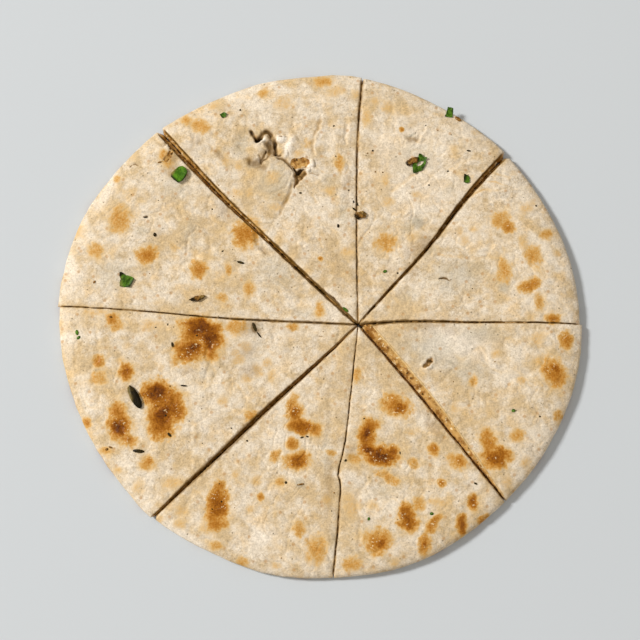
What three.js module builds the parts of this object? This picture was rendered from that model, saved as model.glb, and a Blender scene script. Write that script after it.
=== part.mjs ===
// A kulcha: a stuffed flatbread baked as one round, then cut right through into eight wedges
// that still lie together, with chopped herbs and a few bits of its filling on the crust.
// Millimetres, +Z up. The origin is the middle of the round, on the surface that it lies on.
// +Y is north on the plan: the wedges are numbered clockwise from the north cut, like a clock.
import * as THREE from 'three';
import { LoftGeometry } from 'three/addons/geometries/LoftGeometry.js';

// ---- Driving dimensions -----------------------------------------------------------------

const THICKNESS = 6.6; // of the bread, away from its rim
const HUB = new THREE.Vector2(17.6, -3.6); // where the eight cuts meet, off the round's middle
const REST_GAP = 0.3; // between a loose bit and the crust under it

// The round was rolled by hand. Each wedge's stretch of rim, from wedge_1 on, is given
// anticlockwise: the directions in degrees of its two ends, and its radii at even steps.
const RIMS = [
  { from: 42.1, to: 79.1, radii: [118.3, 117.9, 117.4, 117.1, 117.3, 117.8, 118.2] },
  { from: -0.7, to: 40.5, radii: [120.2, 120.0, 119.6, 119.0, 118.4, 118.1, 118.0] },
  { from: -44.0, to: -1.3, radii: [118.7, 119.2, 119.7, 120.3, 120.9, 121.2, 121.1] },
  { from: -87.1, to: -44.8, radii: [118.3, 118.7, 119.4, 119.5, 119.1, 118.7, 118.7] },
  { from: -128.6, to: -87.7, radii: [118.4, 117.9, 117.6, 118.1, 118.7, 118.6, 118.2] },
  { from: 177.6, to: 230.0, radii: [120.4, 120.0, 118.9, 118.4, 118.1, 118.0, 119.1] },
  { from: 129.6, to: 177.1, radii: [118.2, 118.3, 118.9, 120.2, 120.8, 121.0, 121.3] },
  { from: 79.7, to: 128.6, radii: [118.5, 118.5, 117.3, 117.1, 117.3, 116.7, 116.7, 117.2, 118.1] },
];

// The rounded rim, as heights and how far the edge has drawn in at each.
const RIM_PROFILE = [
  { height: 0, inset: 1.8 },
  { height: 0.9, inset: 0.5 },
  { height: 2.1, inset: 0 },
  { height: 3.3, inset: 0.6 },
  { height: 4.3, inset: 2.2 },
  { height: 5.3, inset: 5.6 },
  { height: 6.1, inset: 12 },
  { height: THICKNESS, inset: 24 },
];

// Each cut runs from the hub to past the rim, through the points given. Its gap is the width
// left open at the hub, half way and the rim. lean is how far the cutter leaned over there:
// the face of the wedge on its anticlockwise side slopes back that much from foot to top.
const CUTS = {
  north: {
    through: [[17.2, 28.6], [17.3, 60.6], [18.0, 88.6], [21.0, 124.6]],
    gap: [0.5, 0.5, 1.0],
    lean: [0, 0, 0],
  },
  northEast: {
    through: [[30.0, 10.4], [49.6, 32.0], [70.4, 59.2], [94.0, 85.1]],
    gap: [0.8, 1.4, 3.4],
    lean: [0, 0, 0],
  },
  east: {
    through: [[40.0, -2.1], [70.0, -2.5], [98.0, -2.6], [128.0, -3.0]],
    gap: [0.7, 0.8, 0.4],
    lean: [0, 0, 0],
  },
  southEast: {
    through: [[30.0, -18.0], [50.2, -42.6], [70.4, -68.2], [89.0, -90.9]],
    gap: [1.2, 1.1, 0.6],
    lean: [4.4, 4.2, 0.5],
  },
  south: {
    through: [[14.6, -31.4], [11.6, -57.4], [8.4, -71.4], [9.4, -81.4], [5.2, -125.4]],
    gap: [0.5, 0.5, 0.7],
    lean: [0, 0, 0],
  },
  southWest: {
    through: [[0, -20.6], [-24.0, -42.6], [-48.0, -65.8], [-83.0, -98.9]],
    gap: [0.9, 2.0, 1.2],
    lean: [0, 0, 0],
  },
  west: {
    through: [[-10, -2.4], [-45, -0.6], [-80, 2.6], [-127, 6.0]],
    gap: [0.5, 0.5, 0.4],
    lean: [0, 0, 0],
  },
  northWest: {
    through: [[0, 13.4], [-24.0, 36.8], [-50.0, 62.4], [-82.0, 98.1]],
    gap: [0.8, 1.2, 2.8],
    lean: [0.3, 0.8, 1.4],
  },
};

const EDGE_STEPS = 11; // along each cut face
const RIM_STEPS = 14; // round each wedge's stretch of rim

// ---- The round and its cuts -------------------------------------------------------------

// A value given at three even places along a length, read off at t from 0 to 1.
function along([start, middle, end], t) {
  return t < 0.5
    ? THREE.MathUtils.lerp(start, middle, t * 2)
    : THREE.MathUtils.lerp(middle, end, t * 2 - 1);
}

const rimCurves = new Map(
  RIMS.map((rim) => [
    rim,
    new THREE.SplineCurve(rim.radii.map((radius, i) => new THREE.Vector2(i, radius))),
  ]),
);

// How many degrees anticlockwise a point lies from the start of a stretch of rim.
function pastStart(rim, x, y) {
  const direction = THREE.MathUtils.radToDeg(Math.atan2(y, x));
  return THREE.MathUtils.euclideanModulo(direction - rim.from + 180, 360) - 180;
}

// A stretch of rim's radius in the direction of a point.
function rimRadius(rim, x, y) {
  const share = pastStart(rim, x, y) / (rim.to - rim.from);
  return rimCurves.get(rim).getPoint(THREE.MathUtils.clamp(share, 0, 1)).y;
}

// One face of a cut at a height: side is 1 for the anticlockwise wedge's face, -1 for the
// clockwise wedge's. The line is the cut's own, moved sideways by half its gap and its lean.
function cutFace(cut, side, height) {
  const spine = [HUB, ...cut.through.map(([x, y]) => new THREE.Vector2(x, y))];
  const last = spine.length - 1;
  return new THREE.SplineCurve(
    spine.map((point, i) => {
      const before = spine[Math.max(i - 1, 0)];
      const after = spine[Math.min(i + 1, last)];
      const heading = after.clone().sub(before).normalize();
      const lean = side > 0 ? along(cut.lean, i / last) * (height / THICKNESS) : 0;
      const away = side * (along(cut.gap, i / last) / 2 + lean);
      return new THREE.Vector2(point.x - heading.y * away, point.y + heading.x * away);
    }),
  );
}

// How far along a face, from 0 to 1, it comes out through a rim drawn in by the inset.
function exitThroughRim(face, rim, inset) {
  let inside = 0;
  let outside = 1;
  for (let halving = 0; halving < 30; halving += 1) {
    const t = (inside + outside) / 2;
    const p = face.getPoint(t);
    if (p.length() < rimRadius(rim, p.x, p.y) - inset) inside = t;
    else outside = t;
  }
  return inside;
}

// Where two faces meet near the hub: the wedge's tip, as how far along each face it is.
function tipOf(faceA, faceB) {
  const a = faceA.getPoint(0);
  const b = faceB.getPoint(0);
  const STEP = 0.05;
  const alongA = faceA.getPoint(STEP).sub(a).divideScalar(STEP);
  const alongB = faceB.getPoint(STEP).sub(b).divideScalar(STEP);
  const between = b.clone().sub(a);
  const cross = alongA.cross(alongB);
  return [between.cross(alongB) / cross, between.cross(alongA) / cross];
}

// A wedge's plan at one height, anticlockwise: tip, clockwise face, rim, anticlockwise face.
// first is the cut on its clockwise side, and next the one on its anticlockwise side.
function wedgeSection(first, next, rim, { height, inset }) {
  const faceA = cutFace(first, 1, height);
  const faceB = cutFace(next, -1, height);
  const [tipA, tipB] = tipOf(faceA, faceB);
  const exitA = exitThroughRim(faceA, rim, inset);
  const exitB = exitThroughRim(faceB, rim, inset);
  const points = [];
  for (let i = 0; i < EDGE_STEPS; i += 1) {
    points.push(faceA.getPoint(THREE.MathUtils.lerp(tipA, exitA, i / EDGE_STEPS)));
  }
  const start = faceA.getPoint(exitA);
  const end = faceB.getPoint(exitB);
  const startAngle = start.angle();
  const sweep = (end.angle() - startAngle + Math.PI * 2) % (Math.PI * 2);
  for (let i = 0; i < RIM_STEPS; i += 1) {
    const angle = startAngle + (sweep * i) / RIM_STEPS;
    const radius = rimRadius(rim, Math.cos(angle), Math.sin(angle)) - inset;
    points.push(new THREE.Vector2(radius * Math.cos(angle), radius * Math.sin(angle)));
  }
  for (let i = EDGE_STEPS; i > 0; i -= 1) {
    points.push(faceB.getPoint(THREE.MathUtils.lerp(tipB, exitB, i / EDGE_STEPS)));
  }
  return points.map((p) => new THREE.Vector3(p.x, p.y, height));
}

const crust = new THREE.MeshStandardMaterial({ color: 0xdcc7a6, roughness: 0.7, metalness: 0 });

function wedge(name, clockwiseCut, anticlockwiseCut, rim) {
  const sections = RIM_PROFILE.map((ring) =>
    wedgeSection(clockwiseCut, anticlockwiseCut, rim, ring),
  );
  const mesh = new THREE.Mesh(new LoftGeometry(sections, { capStart: true, capEnd: true }), crust);
  mesh.name = name;
  return mesh;
}

// ---- Loose bits on the crust ------------------------------------------------------------

const LEAF_GREEN = { color: 0x2f5a1c, roughness: 0.5, metalness: 0 };
const ONION_GREEN = { color: 0x3f7a22, roughness: 0.4, metalness: 0 };
const CHILLI_OLIVE = { color: 0x34351a, roughness: 0.45, metalness: 0 };
const FRIED_BROWN = { color: 0x6b4522, roughness: 0.6, metalness: 0 };

// The crust's height and outward lean at a point, read off the rim's profile.
function crustAt(x, y) {
  const rim = RIMS.find((stretch) => {
    const turn = pastStart(stretch, x, y);
    return turn > -1 && turn < stretch.to - stretch.from + 1;
  });
  const inset = rimRadius(rim, x, y) - Math.hypot(x, y);
  const outer = RIM_PROFILE.findLastIndex((ring) => ring.height > 2 && ring.inset <= inset);
  const inner = Math.min(outer + 1, RIM_PROFILE.length - 1);
  const [a, b] = [RIM_PROFILE[outer], RIM_PROFILE[inner]];
  const slope = inner === outer ? 0 : (b.height - a.height) / (b.inset - a.inset);
  return { height: a.height + slope * (inset - a.inset), slope };
}

// Lays a bit flat on the crust at a point, turned in plan by so many degrees.
function laid(name, geometry, finish, { x, y, turn }) {
  const { height, slope } = crustAt(x, y);
  const outward = new THREE.Vector2(x, y).normalize().multiplyScalar(slope);
  const upright = new THREE.Vector3(outward.x, outward.y, 1).normalize();
  const mesh = new THREE.Mesh(geometry, new THREE.MeshStandardMaterial(finish));
  mesh.name = name;
  mesh.quaternion.setFromUnitVectors(new THREE.Vector3(0, 0, 1), upright);
  mesh.rotateZ(THREE.MathUtils.degToRad(turn));
  mesh.position.set(x, y, height).addScaledVector(upright, REST_GAP);
  return mesh;
}

// A chopped bit: a smooth outline through corner points round its middle, drawn in a little
// at its foot and its top.
function choppedBit(corners, thickness) {
  const outline = new THREE.CatmullRomCurve3(
    corners.map(([x, y]) => new THREE.Vector3(x, y, 0)),
    true,
  );
  const plan = outline.getPoints(corners.length * 4).slice(0, -1);
  const rings = [[0, 0.88], [0.3, 1], [0.7, 1], [1, 0.86]];
  const sections = rings.map(([rise, scale]) =>
    plan.map((p) => new THREE.Vector3(p.x * scale, p.y * scale, rise * thickness)),
  );
  return new LoftGeometry(sections, { capStart: true, capEnd: true });
}

// A seed or sliver: a long egg that lies on its side.
function sliver(length, width, thickness) {
  const geometry = new THREE.SphereGeometry(0.5, 14, 8);
  return geometry.scale(length, width, thickness).translate(0, 0, thickness / 2);
}

const LEAF_THICKNESS = 0.9;

const bits = [
  laid(
    'spring_onion_bit',
    choppedBit([[-3.4, -1.6], [-0.4, -3.4], [3.4, -0.6], [3.2, 2.2], [0.2, 3.5], [-3.2, 1.4]], 1.9),
    ONION_GREEN,
    { x: -65.6, y: 68.0, turn: 20 },
  ),
  laid(
    'coriander_leaf_1',
    choppedBit([[-2.6, -2.6], [1.4, -3.0], [2.9, 1.0], [-1.2, 1.6], [-2.7, 3.6]], LEAF_THICKNESS),
    LEAF_GREEN,
    { x: -89.4, y: 17.0, turn: 0 },
  ),
  laid(
    'coriander_leaf_2',
    choppedBit([[-3.0, -4.2], [0.4, -3.2], [3.2, -0.8], [3.0, 2.6], [0.6, 4.4], [-1.4, 1.0]], 1.3),
    LEAF_GREEN,
    { x: 46.6, y: 73.4, turn: 0 },
  ),
  laid(
    'coriander_leaf_3',
    choppedBit([[-1.8, -2.2], [1.8, -2.4], [2.0, 2.3], [-1.5, 2.5]], LEAF_THICKNESS),
    LEAF_GREEN,
    { x: 60.6, y: 97.4, turn: 6 },
  ),
  laid(
    'coriander_leaf_4',
    choppedBit([[-1.2, -1.8], [1.3, -2.1], [1.2, 0.8], [-0.8, 2.1]], LEAF_THICKNESS),
    LEAF_GREEN,
    { x: 68.5, y: 66.0, turn: 0 },
  ),
  laid(
    'coriander_leaf_5',
    choppedBit([[-1.5, -0.9], [0.2, -1.5], [1.7, 0.9], [-0.9, 1.2]], LEAF_THICKNESS),
    LEAF_GREEN,
    { x: -45.5, y: 97.0, turn: 0 },
  ),
  laid('chilli_sliver', sliver(10.4, 3.9, 1.5), CHILLI_OLIVE, { x: -83.8, y: -37.0, turn: -60 }),
  laid('cumin_seed', sliver(6.2, 1.9, 1.5), FRIED_BROWN, { x: -56.2, y: 8.8, turn: 14 }),
  laid(
    'fried_onion_crumb_1',
    choppedBit([[-2.5, -1.5], [0.6, -1.3], [1.4, 0.9], [-0.6, 1.7], [-2.3, 0.5]], 1.3),
    FRIED_BROWN,
    { x: 41.8, y: 74.2, turn: 12 },
  ),
  laid(
    'fried_onion_crumb_2',
    choppedBit([[-2.9, -0.6], [-0.4, -1.5], [2.6, 1.0], [0.2, 1.3], [-2.4, 0.9]], 1.4),
    FRIED_BROWN,
    { x: 19.2, y: 48.2, turn: 8 },
  ),
];

// ---- The whole kulcha -------------------------------------------------------------------

const clockwise = ['north', 'northEast', 'east', 'southEast', 'south', 'southWest', 'west', 'northWest'];

const kulcha = new THREE.Group();
clockwise.forEach((cut, i) => {
  const next = clockwise[(i + 1) % clockwise.length];
  kulcha.add(wedge(`wedge_${i + 1}`, CUTS[next], CUTS[cut], RIMS[i]));
});
kulcha.add(...bits);

export default kulcha;
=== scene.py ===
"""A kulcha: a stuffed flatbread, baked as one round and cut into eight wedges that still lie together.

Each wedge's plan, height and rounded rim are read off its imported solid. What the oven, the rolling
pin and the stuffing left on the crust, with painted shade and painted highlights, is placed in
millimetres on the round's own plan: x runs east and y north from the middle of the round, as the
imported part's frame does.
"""

import logging
import math
from collections.abc import Callable, Sequence
from dataclasses import dataclass, field
from enum import Enum

import bmesh
import bpy
import numpy as np
from mathutils import Matrix, Vector
from mathutils.bvhtree import BVHTree


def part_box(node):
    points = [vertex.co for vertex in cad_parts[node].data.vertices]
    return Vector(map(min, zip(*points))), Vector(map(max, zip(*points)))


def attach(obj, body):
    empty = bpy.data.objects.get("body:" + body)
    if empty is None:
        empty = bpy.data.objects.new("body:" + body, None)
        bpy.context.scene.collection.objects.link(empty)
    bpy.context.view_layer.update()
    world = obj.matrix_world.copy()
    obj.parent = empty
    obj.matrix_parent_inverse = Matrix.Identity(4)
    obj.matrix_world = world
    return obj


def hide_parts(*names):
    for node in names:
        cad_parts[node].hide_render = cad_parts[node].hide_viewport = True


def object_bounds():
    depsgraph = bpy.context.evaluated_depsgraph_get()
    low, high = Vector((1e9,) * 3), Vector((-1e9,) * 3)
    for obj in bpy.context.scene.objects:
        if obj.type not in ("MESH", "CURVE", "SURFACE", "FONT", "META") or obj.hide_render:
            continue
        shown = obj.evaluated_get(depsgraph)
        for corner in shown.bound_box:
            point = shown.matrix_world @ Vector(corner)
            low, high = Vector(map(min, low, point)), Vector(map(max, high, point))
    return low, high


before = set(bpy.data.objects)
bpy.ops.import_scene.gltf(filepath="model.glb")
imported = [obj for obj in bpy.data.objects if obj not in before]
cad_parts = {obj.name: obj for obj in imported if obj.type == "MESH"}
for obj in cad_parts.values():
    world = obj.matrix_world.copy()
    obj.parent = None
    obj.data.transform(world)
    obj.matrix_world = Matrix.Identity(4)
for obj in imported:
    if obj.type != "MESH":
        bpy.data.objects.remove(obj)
CAD_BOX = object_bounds()

LOG = logging.getLogger("kulcha")
MM = 0.001
Array = np.ndarray
BMesh = bmesh.types.BMesh
Layer = bmesh.types.BMLayerItem
Verts = Sequence[bmesh.types.BMVert]
Mesh = bpy.types.Mesh
Material = bpy.types.Material
Piece = bpy.types.Object
Socket = bpy.types.NodeSocket
Point = tuple[float, float]
Colour = tuple[float, float, float, float]


# ---- Small helpers -----------------------------------------------------------------------


def srgb(red: int, green: int, blue: int) -> Colour:
    """Turns a screen colour into the linear one that shaders take.

    Args:
        red, green, blue: the screen colour's parts, 0 to 255.

    Returns:
        The linear colour, with full alpha.
    """

    def linear(part: int) -> float:
        """One part of the colour, made linear."""
        share = part / 255
        return share / 12.92 if share <= 0.04045 else ((share + 0.055) / 1.055) ** 2.4

    return linear(red), linear(green), linear(blue), 1.0


def ease(low: float, high: float, value: Array) -> Array:
    """A smooth step from 0 at low to 1 at high.

    Args:
        low, high: where the step starts and ends; low may be the larger.
        value: the places to read it at.

    Returns:
        The step's height at each place, 0 to 1.
    """
    t = np.clip((value - low) / (high - low), 0, 1)
    return t * t * (3 - 2 * t)


def each_row(kind: type, rows: Sequence[tuple]) -> tuple:
    """Makes one thing of a kind from each row of a table."""
    return tuple(kind(*row) for row in rows)


def grouped_rows(kind: type, shared: str, groups: dict[Enum, Sequence[tuple]]) -> tuple:
    """Makes one thing of a kind from each row of a table whose groups share one value."""
    return tuple(kind(*row, **{shared: value}) for value, rows in groups.items() for row in rows)


def tapered(share: float, along: Array) -> Array:
    """1 along a line, easing to 0 over a share of it at both ends."""
    return ease(0, share, along) * ease(1, 1 - share, along)


def raise_to(values: Array, at: Array, amounts: Array) -> None:
    """Raises some of the values to amounts, where they are lower."""
    values[at] = np.maximum(values[at], amounts)


def steps_along(line: Array) -> Array:
    """The lengths of a line's straight steps."""
    return np.hypot(*np.diff(line, axis=0).T)


def plan_of(verts: Verts) -> Array:
    """The x and the y of a working mesh's vertices, in millimetres."""
    return np.array([v.co.xy for v in verts]).T / MM


def places_of(mesh: Mesh) -> Array:
    """The x, the y and the z of a finished mesh's vertices, in millimetres."""
    places = np.zeros(len(mesh.vertices) * 3)
    mesh.vertices.foreach_get("co", places)
    return places.reshape(-1, 3).T / MM


def put(verts: Verts, x: Array, y: Array, z: Array) -> None:
    """Puts a working mesh's vertices at places in millimetres."""
    for vert, *place in zip(verts, (x * MM).tolist(), (y * MM).tolist(), (z * MM).tolist()):
        vert.co = place


def link(name: str, data: bpy.types.ID) -> Piece:
    """Puts a mesh, a lamp or a camera in the scene as an object at the origin."""
    made = bpy.data.objects.new(name, data)
    bpy.context.scene.collection.objects.link(made)
    return made


def hang(
    name: str, data: bpy.types.ID, aim: Vector, azimuth: float, rise: float, distance: float
) -> Piece:
    """Hangs a lamp or a camera so that it faces a place.

    Args:
        name: the object's name.
        data: the lamp or the camera.
        aim: the place.
        azimuth, rise: where it hangs from there: degrees anticlockwise from east and upwards.
        distance: how far away, in metres.

    Returns:
        The object.
    """
    turn, rise = math.radians(azimuth), math.radians(rise)
    back = Vector((math.cos(turn) * math.cos(rise), math.sin(turn) * math.cos(rise), math.sin(rise)))
    made = link(name, data)
    made.location = aim + back * distance
    made.rotation_euler = (-back).to_track_quat("-Z", "Y").to_euler()
    return made


def mesh_from(name: str, bm: BMesh, finish: Material) -> Mesh:
    """Turns a working mesh into a smooth-shaded one with its finish, and frees it.

    Args:
        name: the mesh's name.
        bm: the working mesh.
        finish: its material.

    Returns:
        The mesh.
    """
    mesh = bpy.data.meshes.new(name)
    bm.to_mesh(mesh)
    bm.free()
    mesh.shade_smooth()
    mesh.materials.append(finish)
    return mesh


class HillNoise:
    """Smooth seeded hills over a plane, about -1 to 1, a hill wide as the size asked for."""

    def __init__(self, seed: int) -> None:
        """Draws the slopes that the hills are made from.

        Args:
            seed: which set of hills.
        """
        angle = np.random.default_rng(seed).uniform(0, 2 * np.pi, (256, 256))
        self.lean_x = np.cos(angle)
        self.lean_y = np.sin(angle)

    def __call__(self, x: Array, y: Array, size: float) -> Array:
        """Reads the hills.

        Args:
            x, y: the places, in millimetres.
            size: a hill's width, in millimetres.

        Returns:
            The height at each place.
        """
        x, y = x / size, y / size
        column, row = np.floor(x).astype(int), np.floor(y).astype(int)
        inner_x, inner_y = x - column, y - row

        def corner(i: int, j: int) -> Array:
            """The slope from one corner of each place's square."""
            at = (column + i) % 256, (row + j) % 256
            return self.lean_x[at] * (inner_x - i) + self.lean_y[at] * (inner_y - j)

        blend_x = inner_x**3 * (inner_x * (inner_x * 6 - 15) + 10)
        blend_y = inner_y**3 * (inner_y * (inner_y * 6 - 15) + 10)
        south = corner(0, 0) * (1 - blend_x) + corner(1, 0) * blend_x
        north = corner(0, 1) * (1 - blend_x) + corner(1, 1) * blend_x
        return 1.5 * (south * (1 - blend_y) + north * blend_y)


@dataclass(frozen=True)
class Oval:
    """An oval place on the plan, in millimetres, its width turned anticlockwise by degrees."""

    x: float
    y: float
    width: float
    length: float
    turn: float = 0.0

    def near(self, x: Array, y: Array) -> Array:
        """Which places the oval or its soft edge may touch, as their numbers."""
        reach = max(self.width, self.length) + 2.5
        return np.flatnonzero((abs(x - self.x) < reach) & (abs(y - self.y) < reach))

    def outwards(self, x: Array, y: Array) -> Array:
        """How far out places are: 0 at the oval's middle and 1 on its edge."""
        turn = math.radians(self.turn)
        east, north = x - self.x, y - self.y
        across = east * math.cos(turn) + north * math.sin(turn)
        along = north * math.cos(turn) - east * math.sin(turn)
        return np.hypot(across / (self.width / 2), along / (self.length / 2))


@dataclass(frozen=True)
class Line:
    """A line on the plan through a few points, in millimetres."""

    points: tuple[Point, ...]

    def near(self, x: Array, y: Array, reach: float = 6.0) -> Array:
        """Which places lie within reach of the box round the line, as their numbers."""
        east, north = zip(*self.points)
        wide = (x > min(east) - reach) & (x < max(east) + reach)
        return np.flatnonzero(wide & (y > min(north) - reach) & (y < max(north) + reach))

    def beside(self, x: Array, y: Array) -> tuple[Array, Array, Array]:
        """Finds how places lie beside the line.

        Args:
            x, y: the places.

        Returns:
            The distance from the line, 1 or -1 for its left or right side, and how far along
            the line the nearest point is, from 0 to 1.
        """
        distance = np.full(x.shape, np.inf)
        side = np.ones(x.shape)
        along = np.zeros(x.shape)
        lengths = [math.dist(a, b) for a, b in zip(self.points, self.points[1:])]
        walked = 0.0
        for (ax, ay), (bx, by), length in zip(self.points, self.points[1:], lengths):
            east, north = (bx - ax) / length, (by - ay) / length
            run = np.clip((x - ax) * east + (y - ay) * north, 0, length)
            off_x, off_y = x - ax - run * east, y - ay - run * north
            apart = np.hypot(off_x, off_y)
            nearer = apart < distance
            distance = np.where(nearer, apart, distance)
            side = np.where(nearer, np.where(east * off_y - north * off_x > 0, 1.0, -1.0), side)
            along = np.where(nearer, (walked + run) / sum(lengths), along)
            walked += length
        return distance, side, along


@dataclass(frozen=True)
class Region(Line):
    """A closed shape on the plan, its corners in millimetres."""

    def inside(self, x: Array, y: Array) -> Array:
        """How far inside the shape's edge places are, less than 0 where they are outside."""
        ring = self.points + self.points[:1]
        distance = Line(ring).beside(x, y)[0]
        within = np.zeros(x.shape, dtype=bool)
        for (ax, ay), (bx, by) in zip(ring, ring[1:]):
            if ay != by:
                within ^= ((ay > y) != (by > y)) & (x < ax + (bx - ax) * (y - ay) / (by - ay))
        return np.where(within, distance, -distance)


def nearest(lines: Sequence[Line], x: Array, y: Array) -> Array:
    """How far places are from the nearer of two lines."""
    return np.minimum(*(line.beside(x, y)[0] for line in lines))


def write_values(mesh: Mesh, name: str, values: Array) -> None:
    """Adds one number for each vertex to a mesh."""
    attribute = mesh.attributes.new(name, "FLOAT", "POINT")
    attribute.data.foreach_set("value", values.astype(np.float32))


# ---- What lies on the crust --------------------------------------------------------------


class Tone(Enum):
    """How far a spot of crust has browned."""

    FAINT = 0.20
    TAN = 0.36
    GOLD = 0.54
    BROWN = 0.76
    DARK = 0.97


@dataclass(frozen=True)
class Scorch(Oval):
    """A mark that the griddle or the oven's wall burnt on the crust."""

    tone: Tone = Tone.TAN


@dataclass(frozen=True)
class Patch(Oval):
    """A soft-edged oval of some other look, such as where stuffing shows grey through the dough, and
    painted shade and painted highlight.
    """

    amount: float = 1.0


@dataclass(frozen=True)
class Mound(Oval):
    """A lump, or a dent where height is negative, with steeper sides the larger steep is."""

    height: float = 0.5
    steep: float = 1.0


@dataclass(frozen=True)
class Groove(Line):
    """A crease or a crack: half_width, depth and the bank on its right in millimetres.

    Its darkness is mostly painted shade in the crease or crack, and its browning is warm painted shade
    there.
    """

    half_width: float = 1.0
    depth: float = 0.2
    shade_and_stain: float = 0.0
    ridge: float = 0.0
    warm_shade: float = 0.0


@dataclass(frozen=True)
class Roll(Line):
    """A rounded fold of dough that stands up along the line."""

    half_width: float = 1.5
    height: float = 0.5


@dataclass(frozen=True)
class Ledge(Line):
    """An edge of dough that stands up on the line's left and slopes away over reach."""

    height: float = 0.5
    reach: float = 4.0
    brink: float = 0.5


@dataclass(frozen=True)
class Pocket(Region):
    """A sunken place with steep sides: its depth, how dark it is with painted shade in the hollow, and
    how much stuffing it shows.
    """

    depth: float = 1.0
    brim: float = 0.7
    shade_and_stain: float = 0.0
    filling: float = 0.0
    lumps: float = 0.0


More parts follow.
